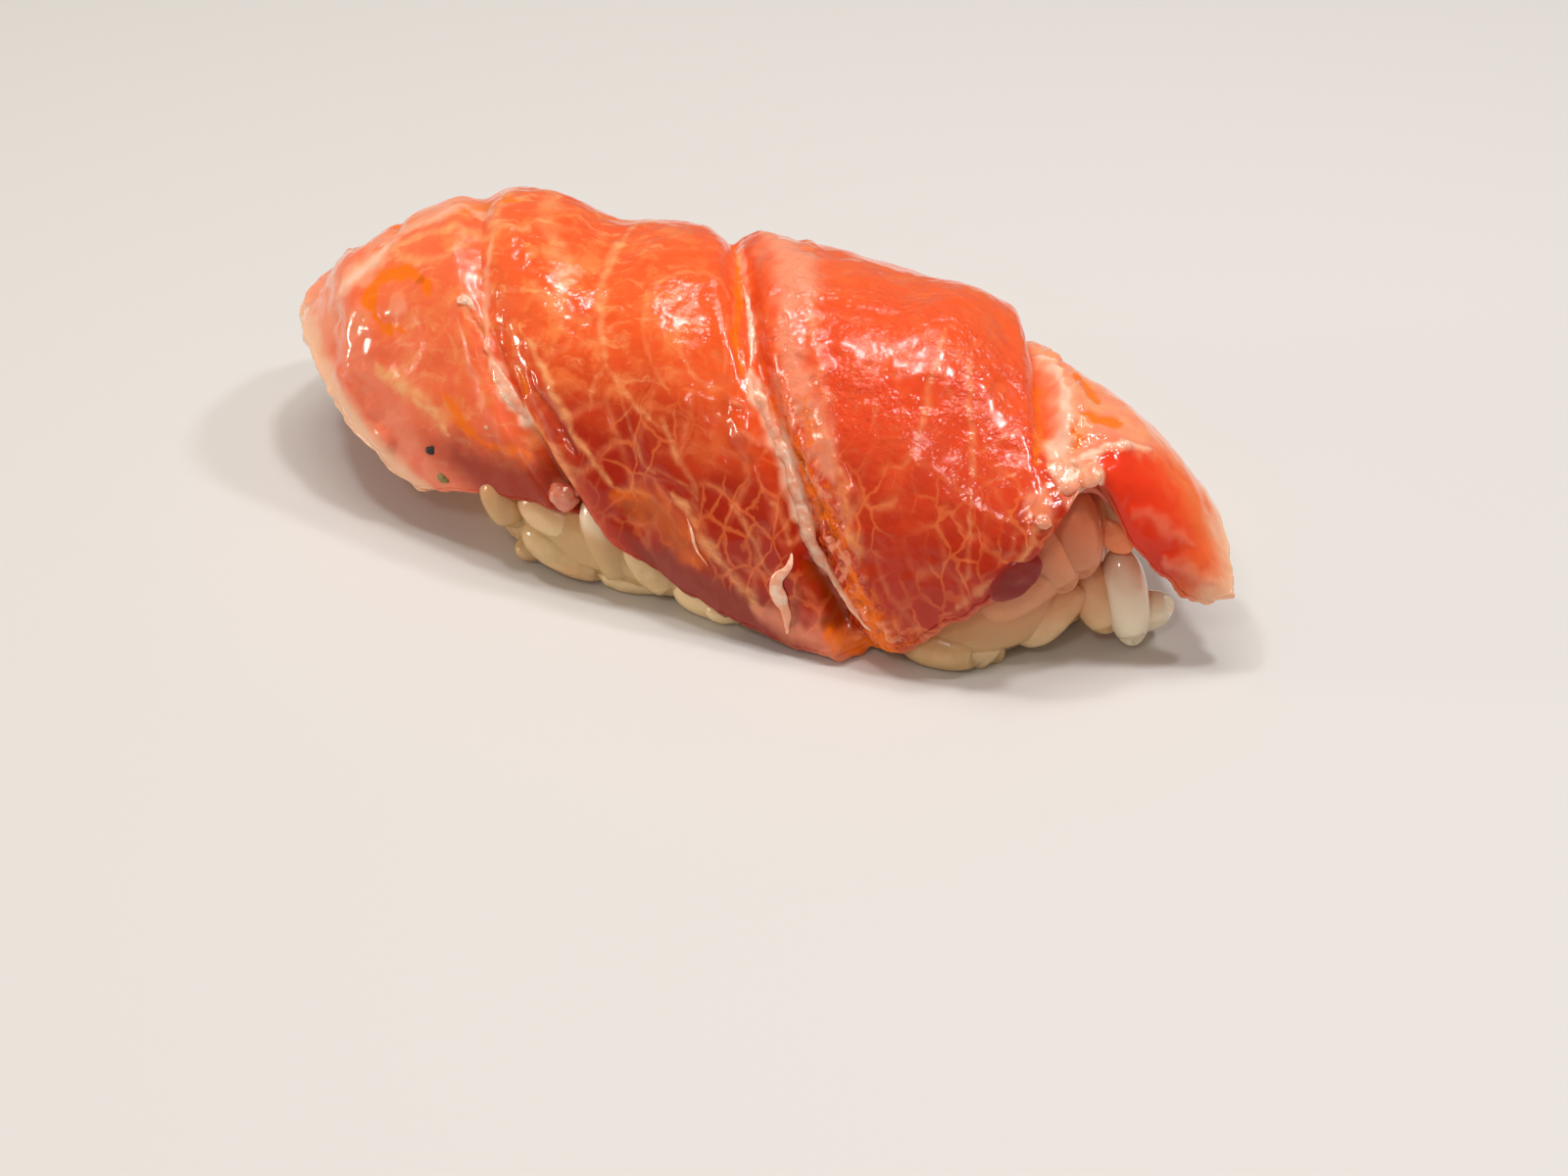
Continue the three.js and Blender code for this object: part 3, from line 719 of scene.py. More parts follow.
# A bead is a round glazed drop of fat: its place, half sizes in mm, and shade from pale to red.
beads = [
    ((0.925, -0.925), (1.3, 1.1, 0.95), 0.75),
    ((1.03, -0.885), (0.55, 0.5, 0.45), 0.8),
    ((0.985, -0.9), (0.5, 0.4, 0.4), 0.8),
    ((2.89, -0.74), (0.62, 0.55, 0.55), 0.3),
    ((0.79, -0.74), (0.25, 0.2, 0.2), 0.4),
    ((2.1, -0.68), (0.4, 0.3, 0.3), 0.3),
]
# A fleck is a dark crumb: its place, half sizes in mm, and shade from black to green.
flecks = [
    ((0.37, -0.835), (0.42, 0.3, 0.22), 0),
    ((0.395, -0.825), (0.22, 0.16, 0.15), 0),
    ((0.28, -0.925), (0.5, 0.34, 0.16), 1),
    ((0.285, -0.935), (0.16, 0.12, 0.1), 0),
]
# A leaf is a scrap of flesh tucked under the rim: its two tips in mm, half width, and where it faces.
# The first leaf's dark plum colour is painted shade under the rim.
leaves = [
    ((19.8, -12.95, 7.8), (22.8, -11.65, 10.8), 1.35, (0.5, -0.85, 0.1)),
    ((25.0, -5.0, 10.4), (27.5, -4.8, 8.4), 1.0, (0.3, -0.9, 0.3)),
]
leafShape = {"thickness": 0.4, "uneven": 0.25}  # half the thickness, in mm
strandShape = {
    "tip": 0.55,  # how blunt the ends are
    "wave": 0.25,  # how far it strays from its path, for its width
    "grit": 0.09,
    "evening": 30,
    "lowest": 0.12,
}


def onFlesh(t, v):
    # places on the slice's real surface, with its normals
    spots, normals = onSlice(t, v)
    above = 4  # mm
    for i, (spot, normal) in enumerate(zip(spots, normals)):
        up = Vector(normal)
        place = fleshTree.ray_cast((Vector(spot) + up * above) * mm, -up, 2 * above * mm)[0]
        if place is not None:
            spots[i] = np.array(place) / mm
    return spots, normals


def evened(rows):
    # the same rows with small kinks taken out
    for i in range(strandShape["evening"]):
        rows[1:-1] = (rows[:-2] + 2 * rows[1:-1] + rows[2:]) / 4
    return rows


def addStrand(line, number, segments=14, rings=64):
    # a closed strand: a sphere's poles become its two ends
    (width, height), lift, lumps, *path = line
    made = addBall(segments, rings)
    ball = verticesOf(made)
    share = np.arccos(np.clip(ball[:, 2], -1, 1)) / math.pi
    around = np.arctan2(ball[:, 1], ball[:, 0])
    stops = np.linspace(0, 1, rings + 1)
    here = through([[i, *point] for i, point in enumerate(path)])(stops * (len(path) - 1))
    middles, normals = (evened(rows) for rows in onFlesh(here[:, 0], here[:, 1]))
    middle, normal, along = (
        np.stack([np.interp(share, stops, rows[:, i]) for i in range(3)], -1)
        for rows in (middles, normals, np.gradient(middles, axis=0))
    )
    side = np.cross(unit(along), normal)
    girth = np.sin(math.pi * share) ** strandShape["tip"] * (1 + lumps * cloud(middle, 1.8, number * 3.3))
    wave = strandShape["wave"] * width * cloud(middle, 1.8, number * 5.1)
    spots = middle + side * (wave + np.cos(around) * width * girth)[:, None]
    spots = spots + normal * (lift + np.sin(around) * height * girth)[:, None]
    spots = spots + normal * strandShape["grit"] * cloud(spots, 0.8, number + 9.1, 3)[:, None]
    moveVertices(made, spots, strandShape["lowest"])
    closeMesh(lambda: bpy.ops.mesh.remove_doubles(threshold=0.000001))
    storeNumbers(made, shade=0)
    return made


def addFleck(fleck, number, uneven=0.35, sunk=0.0):
    place, size, shade = fleck
    made = addShape(bpy.ops.mesh.primitive_ico_sphere_add, subdivisions=4, radius=1)
    spots = verticesOf(made)
    moveVertices(made, spots * (1 + uneven * cloud(spots, 0.9, number * 4.4, 3))[:, None] * size)
    spots, normals = onFlesh(place[:1], place[1:])
    outward = Vector(normals[0])
    made.data.transform(poseOf(Vector(spots[0]) - outward * sunk * size[2], Vector((1, 0, 0)), outward))
    storeNumbers(made, shade=shade)
    return made


def addLeaf(leaf, number):
    start, end, facing = (Vector(leaf[i]) for i in (0, 1, 3))
    made = addBall(32, 24)
    spots = verticesOf(made) * ((end - start).length / 2, leaf[2], leafShape["thickness"])
    spots[:, 2] += leafShape["uneven"] * cloud(spots, 1.6, number * 6.2)
    moveVertices(made, spots)
    made.data.transform(poseOf((start + end) / 2, end - start, facing.normalized()))
    storeNumbers(made, shade=number)
    return made


# Materials
class Socket:
    # one value in a finish; sums and products of it add Math nodes
    def __init__(self, finish, link):
        self.finish = finish
        self.link = link

    def __add__(self, other):
        return self.finish.math("ADD", self, other)

    def __sub__(self, other):
        return self.finish.math("SUBTRACT", self, other)

    def __rsub__(self, other):
        return self.finish.math("SUBTRACT", other, self)

    def __mul__(self, other):
        return self.finish.math("MULTIPLY", self, other)

    __radd__ = __add__
    __rmul__ = __mul__


class Finish:
    def __init__(self, name, colors, base):
        # a finish starts from its base colour
        self.material = bpy.data.materials.new(name)
        self.material.use_nodes = True
        self.tree = self.material.node_tree
        self.tree.nodes.clear()
        self.colors = colors
        self.color = base
        self.solid = self.scaled(self.node("TexCoord", None, None, 3), (1000, 1000, 1000))  # mm in space

    def node(self, kind, settings=None, sockets=None, output=0):
        made = self.tree.nodes.new("ShaderNode" + kind)
        for key, value in (settings or {}).items():
            setattr(made, key, value)
        for key, value in (sockets or {}).items():
            if isinstance(value, Socket):
                self.tree.links.new(value.link, made.inputs[key])
            else:
                made.inputs[key].default_value = value
        return Socket(self, made.outputs[output]) if made.outputs else made

    def math(self, operation, first, second):
        return self.node("Math", {"operation": operation}, {0: first, 1: second})

    def fade(self, value, low, high):
        # from 0 at low to 1 at high; a high below the low makes it fall
        settings = {"interpolation_type": "SMOOTHSTEP"}
        return self.node("MapRange", settings, {"Value": value, "From Min": low, "From Max": high})

    def mix(self, share, first, second):
        # a colour is a socket, or the name of one of the finish's own
        first, second = (
            color if isinstance(color, Socket) else (*linear(*self.colors[color]), 1)
            for color in (first, second)
        )
        return self.node("Mix", {"data_type": "RGBA"}, {0: share, 6: first, 7: second}, 2)

    def cover(self, share, color):
        # lays a colour over what is there
        self.color = self.mix(share, self.color, color)

    def number(self, name):
        return self.node("Attribute", {"attribute_name": name}, output=2)

    def scaled(self, vector, scale):
        return self.node("VectorMath", {"operation": "MULTIPLY"}, {0: vector, 1: scale})

    def grain(self, vector, size, detail=3.0, roughness=0.55):
        # smooth chance from 0 to 1, with features of the given size in mm
        sockets = {"Vector": vector, "Scale": 1 / size, "Detail": detail, "Roughness": roughness}
        return self.node("TexNoise", None, sockets)

    def finish(self, rough, height=None, **fixed):
        # height is in mm
        sockets = {"Base Color": self.color, "Roughness": rough}
        if height is not None:
            sockets["Normal"] = self.node("Bump", None, {"Distance": mm, "Height": height})
        sockets.update({key.replace("_", " "): value for key, value in fixed.items()})
        shader = self.node("BsdfPrincipled", None, sockets)
        self.node("OutputMaterial", None, {"Surface": shader})
        return self.material


def linear(red, green, blue):
    # a colour as a screen shows it, 0 to 255, to the shader's own scale
    shares = (red / 255, green / 255, blue / 255)
    return tuple(c / 12.92 if c < 0.0405 else ((c + 0.055) / 1.055) ** 2.4 for c in shares)


# Colours are as a screen shows them, 0 to 255.
fleshColors = {
    "orange": (247, 96, 36),
    "red": (237, 73, 30),
    # deep red: the flesh's dark fibres, and painted shade on the muscle's lower front side
    "deepAndPaintedLight": (178, 34, 8),
    "scarlet": (243, 55, 18),
    "peach": (252, 137, 72),
    "fat": (255, 180, 118),
    # cream: pale cut edges, and a painted highlight on the far left rim
    "creamAndHighlight": (255, 216, 178),
    "pink": (252, 160, 126),
    "rose": (240, 102, 64),
    "blush": (252, 158, 122),
    "glaze": (255, 120, 0),
    # brown: darker glaze, and painted shade in cracks, creases and torn gaps
    "brownGlazeAndShade": (158, 58, 4),
    # belly and plum: painted shade along the lower front edge
    "belly": (156, 34, 0),
    "net": (252, 146, 94),
    "plum": (148, 50, 32),
    "sinew": (255, 176, 138),
    "sinewPale": (255, 219, 192),
    "lump": (252, 196, 156),
    "bead": (204, 84, 56),
}
scrapColors = {
    "black": (24, 18, 12),
    "charred": (48, 36, 24),
    "moss": (104, 92, 36),
    "straw": (168, 150, 76),
    # plum and ruby: painted shade on the first tucked leaf
    "plum": (118, 20, 16),
    "ruby": (164, 48, 38),
    "orange": (250, 130, 76),
    "peach": (255, 170, 120),
}


def fleshFinish():
    f = Finish("fattyTunaFlesh", fleshColors, "orange")
    solid = f.solid
    flat = f.scaled(f.node("UVMap", {"uv_map": "flesh"}), (100, 100, 0))  # mm on the slice
    stray = f.node("TexNoise", None, {"Vector": solid, "Scale": 0.4, "Detail": 3.0}, 1)
    bent = f.node("VectorMath", {"operation": "MULTIPLY_ADD"}, {0: stray, 1: (2.4, 2.4, 0), 2: flat})
    down = f.number("crosswise") * -1  # -1 at the rear edge, 1 at the front edge
    segment = f.number("segment")
    outside = f.number("outerFace")
    patches = f.grain(solid, 6.0, 2.0)
    tone = f.grain(solid, 3.6, 4.0)
    clouds = f.grain(bent, 2.4, 5.0, 0.6)
    wisps = f.grain(f.scaled(bent, (0.35, 1.1, 1)), 0.9, 4.0, 0.6)
    fibres = f.grain(f.scaled(bent, (0.16, 1, 1)), 0.32, 3.0, 0.5)
    # the muscle, redder towards the tail and more orange over the top
    redder = f.fade(segment + (tone - 0.5) * 0.3, 1.95, 2.2)
    f.cover(redder * f.fade(down, -0.2, 0.42), "red")
    f.cover(f.fade(tone, 0.42, 0.7) * 0.4, "red")
    f.cover(f.fade(fibres, 0.45, 0.75) * 0.12, "peach")
    f.cover(f.fade(fibres, 0.52, 0.25) * 0.05, "deepAndPaintedLight")
    # painted shade: the muscle's lower front side is darkened with deep red
    lowSideShade = f.fade(down + (patches - 0.5) * 0.3 - redder * 0.06, 0.32, 0.7) * f.fade(segment, 0.9, 1.2)
    f.cover(lowSideShade * (0.97 - redder * 0.15), "deepAndPaintedLight")
    tail = f.fade(segment, 3.05, 3.25) * f.fade(down + (tone - 0.5) * 0.1, 0.02, 0.2)
    tail = tail * (1 - f.fade(segment + (clouds - 0.5) * 0.5, 3.3, 3.9) * 0.65)
    f.cover(tail * 0.9, "scarlet")
    tip = f.fade(segment + (clouds - 0.5) * 0.3 - f.fade(down, 0.1, 0.5) * 0.08, 3.5, 3.76)
    f.cover(tip * 0.5, "peach")
    # soft fat through the first two blocks, thin in the third
    upper = 1 - f.fade(down, 0.42, 0.7) * f.fade(segment, 0.9, 1.2)
    fatty = (f.fade(segment, 1.95, 1.62) * 0.8 + 0.2) * (1 - tail * 0.8)
    f.cover(f.fade(clouds, 0.46, 0.66) * fatty * upper * 0.8, "peach")
    f.cover(f.fade(wisps, 0.54, 0.7) * fatty * upper * 0.5, "fat")
    # the tail's upper side is pale and fatty down to its white ridge
    overRidge = 2.99 - segment * 0.84 - down
    paleTail = f.fade(overRidge + (clouds - 0.5) * 0.2, -0.1, 0.08) * f.fade(segment, 2.99, 3.07)
    f.cover(paleTail * 0.75, "blush")
    f.cover(paleTail * f.fade(clouds, 0.4, 0.68) * 0.5, "fat")
    f.cover(f.fade(segment + (clouds - 0.5) * 0.8, 1.3, 0.5) * 0.24, "blush")
    f.cover(f.fade(tone, 0.4, 0.62) * f.fade(segment, 0.46, 0.3) * 0.3, "rose")
    # the net between the cells, with a finer one inside it
    fineNet = f.node(
        "TexVoronoi",
        {"voronoi_dimensions": "2D", "feature": "DISTANCE_TO_EDGE"},
        {"Vector": f.scaled(bent, (1, 0.7, 1)), "Scale": 0.62},
    )
    body = f.fade(segment, 1.05, 1.35) * f.fade(segment, 3.0, 2.85)
    fineArea = f.fade(down, 0.38, 0.6) * body * f.fade(patches, 0.38, 0.56)
    f.cover(f.fade(fineNet, 0.11, 0.02) * fineArea * 0.45, "peach")
    netCover = f.number("net") * (0.5 + f.fade(clouds, 0.35, 0.65) * 0.5)
    f.cover(netCover * 0.66, "net")
    # the pale cut band at the left end, the tail's rim, and painted shade in dark red-brown and plum along
    # the lower front edge
    leftBand = f.fade(segment + (tone - 0.5) * 0.25, 0.44, 0.24)
    f.cover(leftBand * 0.85, "pink")
    lowBand = leftBand * f.fade(down + (patches - 0.5) * 0.3, 0.38, 0.56)
    f.cover(lowBand * (0.4 + f.fade(clouds, 0.62, 0.38) * 0.35), "rose")
    # cream on the far left rim: partly the cut face's own pale colour, partly a painted highlight
    leftRimAndHighlight = f.fade(segment + (tone - 0.5) * 0.1 - f.fade(down, 0.45, 0.7) * 0.06, 0.13, 0.02)
    f.cover(leftRimAndHighlight * 0.7, "creamAndHighlight")
    f.cover(f.fade(segment + (clouds - 0.5) * 0.3, 3.76, 4.0) * 0.7, "creamAndHighlight")
    f.cover(f.fade(f.number("rim"), 0.02, 0.5) * 0.65, "pink")
    # painted shade: dark red-brown low on the first block, then plum along the lower edge
    reach = down + (tone - 0.5) * 0.14 + f.fade(segment, 1.1, 1.5) * 0.03
    belly = f.fade(reach, 0.72, 0.86) * f.fade(segment, 0.24, 0.54) * f.fade(segment, 1.12, 0.98)
    f.cover(belly * 0.9, "belly")
    plum = f.fade(reach, 0.86, 0.93) * f.fade(segment, 1.16, 1.26) * f.fade(segment, 1.9, 1.74)
    f.cover(plum * 0.9, "plum")
    # the marks
    ragged = clouds - 0.5
    broken = 0.45 + f.fade(wisps, 0.35, 0.62) * 0.55
    f.cover(f.fade(f.number("pale") + ragged * 0.4, 0.05, 0.85) * broken * 0.9, "fat")
    f.cover(f.fade(f.number("blush") + ragged * 0.25, 0.05, 0.85) * 0.85, "blush")
    pool = f.fade(f.number("pool") + ragged * 0.6, 0.05, 0.75)
    f.cover(pool * 0.92, "glaze")
    # darker glaze, with painted shade in the cracks and creases
    brownGlazeAndShade = f.fade(f.number("brownGlazeAndShade") + ragged * 0.8, 0.2, 0.85)
    f.cover(brownGlazeAndShade * 0.75, "brownGlazeAndShade")
    # torn tissue: pale shreds, glaze, and painted shade in dark brown in the gaps between shreds
    torn = f.number("torn")
    shreds = f.grain(solid, 1.2, 4.0, 0.6)
    f.cover(f.fade(shreds, 0.5, 0.4) * torn * 0.8, "glaze")
    f.cover(f.fade(shreds, 0.4, 0.3) * torn * 0.8, "brownGlazeAndShade")
    f.cover(f.fade(shreds, 0.52, 0.64) * torn * 0.85, "blush")
    white = f.number("white")
    f.cover(f.fade(white + ragged * 0.5, 0.22, 0.8) * 0.85, "sinew")
    f.cover(f.fade(white + ragged * 0.4, 0.62, 1.0) * 0.7, "sinewPale")
    # relief finer than the mesh, in mm, and the moist gloss
    grit = f.grain(solid, 0.5, 2.0, 0.5)
    bumps = f.grain(solid, 1.3, 1.0)
    gritArea = f.fade(f.grain(solid, 2.6, 2.0), 0.3, 0.55) * outside
    gritArea = gritArea * (f.fade(segment, 0.8, 1.3) * 0.3 + f.fade(segment, 1.9, 2.2) * 0.6 + 0.1)
    gritArea = gritArea * (1 - f.fade(down, 0.25, 0.55) * 0.8) * f.fade(down, -0.12, 0.08)
    gritArea = gritArea * f.fade(segment, 3.02, 2.92)
    height = grit * (gritArea * 0.24 + 0.01) + bumps * (f.fade(segment, 0.8, 1.2) * 0.065 + 0.015)
    height = height + netCover * 0.03 + shreds * torn * 0.2
    firstBlock = f.fade(segment, 1.1, 0.85) * (1 - leftBand)
    rough = 0.06 + f.grain(solid, 2.4, 3.0) * 0.12 - pool * 0.03 - brownGlazeAndShade * 0.03 + firstBlock * 0.06
    rough = rough + f.fade(segment, 0.74, 0.86) * f.fade(segment, 1.04, 0.98) * 0.16
    wet = outside * (1 - f.fade(down, 0.3, 0.7) * 0.85) * (1 - f.fade(segment, 2.95, 3.15) * 0.5)
    wet = wet * (f.fade(segment, 0.7, 1.1) * 0.25 + f.fade(segment, 1.9, 2.2) * 0.1 + leftBand * 0.3 + 0.1)
    return f.finish(
        rough, height, Subsurface_Weight=0.35, Subsurface_Radius=(1.0, 0.3, 0.14), Subsurface_Scale=0.0009,
        IOR=1.45, Specular_IOR_Level=0.4, Coat_Weight=wet, Coat_Roughness=0.16, Coat_IOR=1.55,
    )


def sinewFinish():
    f = Finish("whiteSinew", fleshColors, "sinew")
    mottle = f.grain(f.solid, 0.9, 4.0)
    f.cover(f.fade(mottle, 0.4, 0.66), "sinewPale")
    f.cover(f.fade(f.grain(f.solid, 1.6), 0.46, 0.66) * 0.75, "blush")
    height = f.grain(f.solid, 0.35, 2.0) * 0.05 + f.grain(f.solid, 1.0) * 0.12
    return f.finish(
        mottle * 0.1 + 0.14, height,
        Specular_IOR_Level=0.4, Coat_Weight=0.6, Coat_Roughness=0.06, Coat_IOR=1.5,
    )


def lumpFinish():
    f = Finish("glazedFat", fleshColors, "blush")
    mottle = f.grain(f.solid, 1.3, 4.0)
    f.cover(f.fade(mottle, 0.42, 0.66), "lump")
    f.cover(f.fade(f.grain(f.solid, 1.8, 2.0), 0.55, 0.75) * 0.5, "peach")
    f.cover(f.number("shade") * 0.75, "bead")
    height = f.grain(f.solid, 0.5, 2.0) * 0.04 + f.grain(f.solid, 1.4) * 0.1
    return f.finish(
        mottle * 0.1 + 0.1, height,
        Specular_IOR_Level=0.5, Coat_Weight=0.8, Coat_Roughness=0.09, Coat_IOR=1.5,
    )


def scrapFinish(name, size, first, second, rough, relief, **fixed):
    # two mottled kinds, each between two colours, chosen by the shade
    f = Finish(name, scrapColors, None)
    mottle = f.grain(f.solid, *size)
    f.color = f.mix(f.number("shade"), f.mix(mottle, *first), f.mix(mottle, *second))
    return f.finish(mottle * rough[1] + rough[0], mottle * relief, **fixed)


def crumbFinish():
    kinds = (("black", "charred"), ("moss", "straw"))
    return scrapFinish("darkCrumb", (0.3, 3.0), *kinds, (0.35, 0.2), 0.08)


# the first leaf is dark plum and ruby, painted shade under the rim; the second is orange and peach flesh
def tuckedFinish():
    kinds = (("plum", "ruby"), ("orange", "peach"))
    return scrapFinish(
        "tuckedFlesh", (1.2, 4.0), *kinds, (0.18, 0.14), 0.1, Subsurface_Weight=0.3,
        Subsurface_Radius=(1.0, 0.3, 0.2), Subsurface_Scale=0.0008, Specular_IOR_Level=0.3,
    )


flesh = buildSlice()
fleshTree = BVHTree.FromObject(flesh, bpy.context.evaluated_depsgraph_get())
print("slice draped:", len(flesh.data.polygons), "faces")
sinews = [addStrand(line, i) for i, line in enumerate(sinewStrands)]
sinews = joinAs(sinews, "sinewStrands", sinewFinish())
blobs = [addStrand(line, i + 20, 20, 24) for i, line in enumerate(fatLumps)]
blobs += [addFleck(bead, i + 30, 0.16, 0.42) for i, bead in enumerate(beads)]
lumps = joinAs(blobs, "fatLumps", lumpFinish())
crumbs = joinAs([addFleck(fleck, i) for i, fleck in enumerate(flecks)], "darkFlecks", crumbFinish())
tucked = joinAs([addLeaf(leaf, i) for i, leaf in enumerate(leaves)], "tuckedFlesh", tuckedFinish())
print("sinews laid:", len(sinewStrands), "and lumps:", len(blobs))


# Rice
rice = {  # lengths in mm
    "halfLength": 23.4,
    "halfWidth": 12.3,
    "top": 20.5,
    "squareness": 2.8,  # of the ball's plan, where 2 is an ellipse
    "belly": (0.07, 1.6),  # how far the sides swell, and how low
    "shoulder": (2.8, 0.5),  # how the ball rounds off at the top
    "grain": (7.4, 3.1, 2.7),  # length, width, depth
    "layers": [(-2.3, 3.2), (-0.85, 2.9)],  # how far grains sit out of the outline, and their spacing
    "under": (1.2, 2.9),  # height and spacing of the grains of the flat underside
    "tries": (9000, 2600),  # in each layer, and on the underside
    "clearance": (0.15, 2.2),  # of grains from the slice's inner and outer face
    "mostSunk": 1.3,  # how far a grain may move in to clear the slice
    "handSpace": 3.4,  # room kept around the listed grains
    "overlap": 1.2,  # how much longer a listed grain is than its ends say
    "lowest": 0.02,
    "seed": 11,
    "coreInset": 2.2,  # of the sticky core, before it swells out to the grains
    "coreEvening": 22,
    "coreBelow": (-0.1, -0.7, 0.5),  # how far it stays under the grains: left, right, rear
    "coreLowest": 0.3,
}
riceColors = {
    # the pressed rice's own colours, darkened as painted shade
    "shadedPearl": (204, 166, 114),
    "shadedMilk": (238, 207, 158),
    "amber": (216, 156, 92),
    "fleshGlowAndShade": (222, 132, 90),  # painted glow and shade from the flesh above
    # deep red: painted glow of the flesh on the rice under the tail
    "deepAndPaintedLight": (204, 84, 52),
    # the lit copy of the rice colour: painted light on the grains in the open
    "loose": (254, 238, 208),
}


def riceSide(angle, rise):
    # a place on the ball's outline, at an angle round it and a share of its height
    along = abs(math.cos(angle)) ** rice["squareness"]
    across = abs(math.sin(angle)) ** rice["squareness"]
    belly = 1 + rice["belly"][0] * math.sin(math.pi * min(rise * rice["belly"][1], 1))
    shoulder = max(1 - rise ** rice["shoulder"][0], 0) ** rice["shoulder"][1]
    reach = (along + across) ** (-1 / rice["squareness"]) * belly * shoulder
    side = Vector((rice["halfLength"] * math.cos(angle), rice["halfWidth"] * math.sin(angle), 0)) * reach
    side.z = rice["top"] * rise
    return side


def riceOutward(angle, rise):
    # the way out of the ball there, and the way round it
    around = riceSide(angle + 0.02, rise) - riceSide(angle - 0.02, rise)
    upward = riceSide(angle, min(rise + 0.02, 0.99)) - riceSide(angle, max(rise - 0.02, 0))
    return around.cross(upward).normalized(), around.normalized()


def addGrain(segments, rings):
    # one cooked grain lying along X: plump, a little flat below, with the germ's notch at one end
    length, width, depth = rice["grain"]
    grain = addBall(segments, rings, rotation=(0, math.pi / 2, 0))
    bpy.ops.object.transform_apply(location=False, rotation=True, scale=False)
    spots = verticesOf(grain)
    along = np.clip(spots[:, 0], -1, 1)
    around = spots[:, 1:] / np.maximum(np.linalg.norm(spots[:, 1:], axis=1, keepdims=True), 1e-6)
    full = (1 - np.abs(along) ** 2.6) ** 0.5 * (1 - 0.08 * along)
    spots[:, 0] = along * length / 2
    spots[:, 1] = around[:, 0] * full * width / 2
    spots[:, 2] = around[:, 1] * full * depth / 2 * np.where(around[:, 1] < 0, 0.9, 1.0)
    notch = hump(along - 0.92, 0.12) * np.maximum(around[:, 1], 0)
    spots[:, 0] -= 0.7 * notch
    spots[:, 2] -= 0.4 * notch + 0.22 * along**2
    moveVertices(grain, spots)
    return grain


def underSlice(spot):
    # true where a spot lies below the slice with room to spare, not in it or over it
    inner, outer = rice["clearance"]
    place, normal, index, gap = fleshTree.find_nearest(spot * mm)
    columns, rows = slicePiece["columns"], slicePiece["rows"]
    row, column = divmod(index, columns)
    onRim = min(row, rows - 1 - row, column, columns - 1 - column) < slicePiece["rimSteps"] // 2
    if index < columns * rows and not onRim:
        return gap > outer * mm
    return gap > inner * mm and (spot * mm - place).dot(normal) > 0


def grainFits(centre, along, outward):
    length, depth = rice["grain"][0], rice["grain"][2]
    profile = ((-0.5, 0.1), (-0.4, 0.34), (-0.2, 0.48), (0, 0.5), (0.2, 0.48), (0.4, 0.34), (0.5, 0.1))
    return all(
        underSlice(centre + along * (share * length) + outward * (side * half * depth))
        for share, half in profile
        for side in (0, 1, -1)
    )


def isClose(centre, others, spacing):
    return any((centre - other).length < spacing for other in others)


def grainPoses():
    # each grain's middle, its long axis, the way out of the ball, its size and its shade
    draw = random.Random(rice["seed"])
    poses = []
    outermost = rice["layers"][-1]
    middles = [(Vector(ends[0]) + Vector(ends[1])) / 2 for ends in frontGrains + looseGrains]
    lowest, underSpacing = rice["under"]
    for layer in rice["layers"]:
        depth, spacing = layer
        taken = []
        for attempt in range(rice["tries"][0]):
            angle = draw.uniform(0, 2 * math.pi)
            rise = draw.uniform(0.055, 0.95)
            outward, around = riceOutward(angle, rise)
            centre = riceSide(angle, rise) + outward * depth
            centre.z = max(centre.z, lowest)
            if isClose(centre, taken, spacing):
                continue
            if layer == outermost and isClose(centre, middles, rice["handSpace"]):
                continue
            upward = outward.cross(around).normalized()
            lean = draw.gauss(0.9, 0.7)
            along = (around * math.cos(lean) + upward * math.sin(lean)).normalized()
            along = (along + outward * draw.uniform(-0.14, 0.14)).normalized()
            sunk = 0.0
            while sunk < rice["mostSunk"] and not grainFits(centre - outward * sunk, along, outward):
                sunk += 0.25
            if sunk < rice["mostSunk"]:
                taken.append(centre)
                size, shade = draw.uniform(0.9, 1.06), draw.random()
                poses.append((centre - outward * sunk, along, outward, size, shade))
    taken = []
    for attempt in range(rice["tries"][1]):
        rim = riceSide(draw.uniform(0, 2 * math.pi), 0.0)
        centre = rim * (math.sqrt(draw.random()) * 0.93)
        centre.z = lowest
        if isClose(centre, taken, underSpacing):
            continue
        turn = draw.uniform(0, math.pi)
        along = Vector((math.cos(turn), math.sin(turn), 0))
        taken.append(centre)
        poses.append((centre, along, Vector((0, 0, -1)), draw.uniform(0.9, 1.06), draw.random()))
    return poses


def copyGrain(model, pose, size, shade):
    copy = model.copy()
    copy.data = model.data.copy()
    bpy.context.collection.objects.link(copy)
    copy.data.transform(pose @ Matrix.Diagonal((size, 2 - size, 1, 1)))
    moveVertices(copy, verticesOf(copy) / mm, rice["lowest"])
    storeNumbers(copy, shade=shade)
    return copy


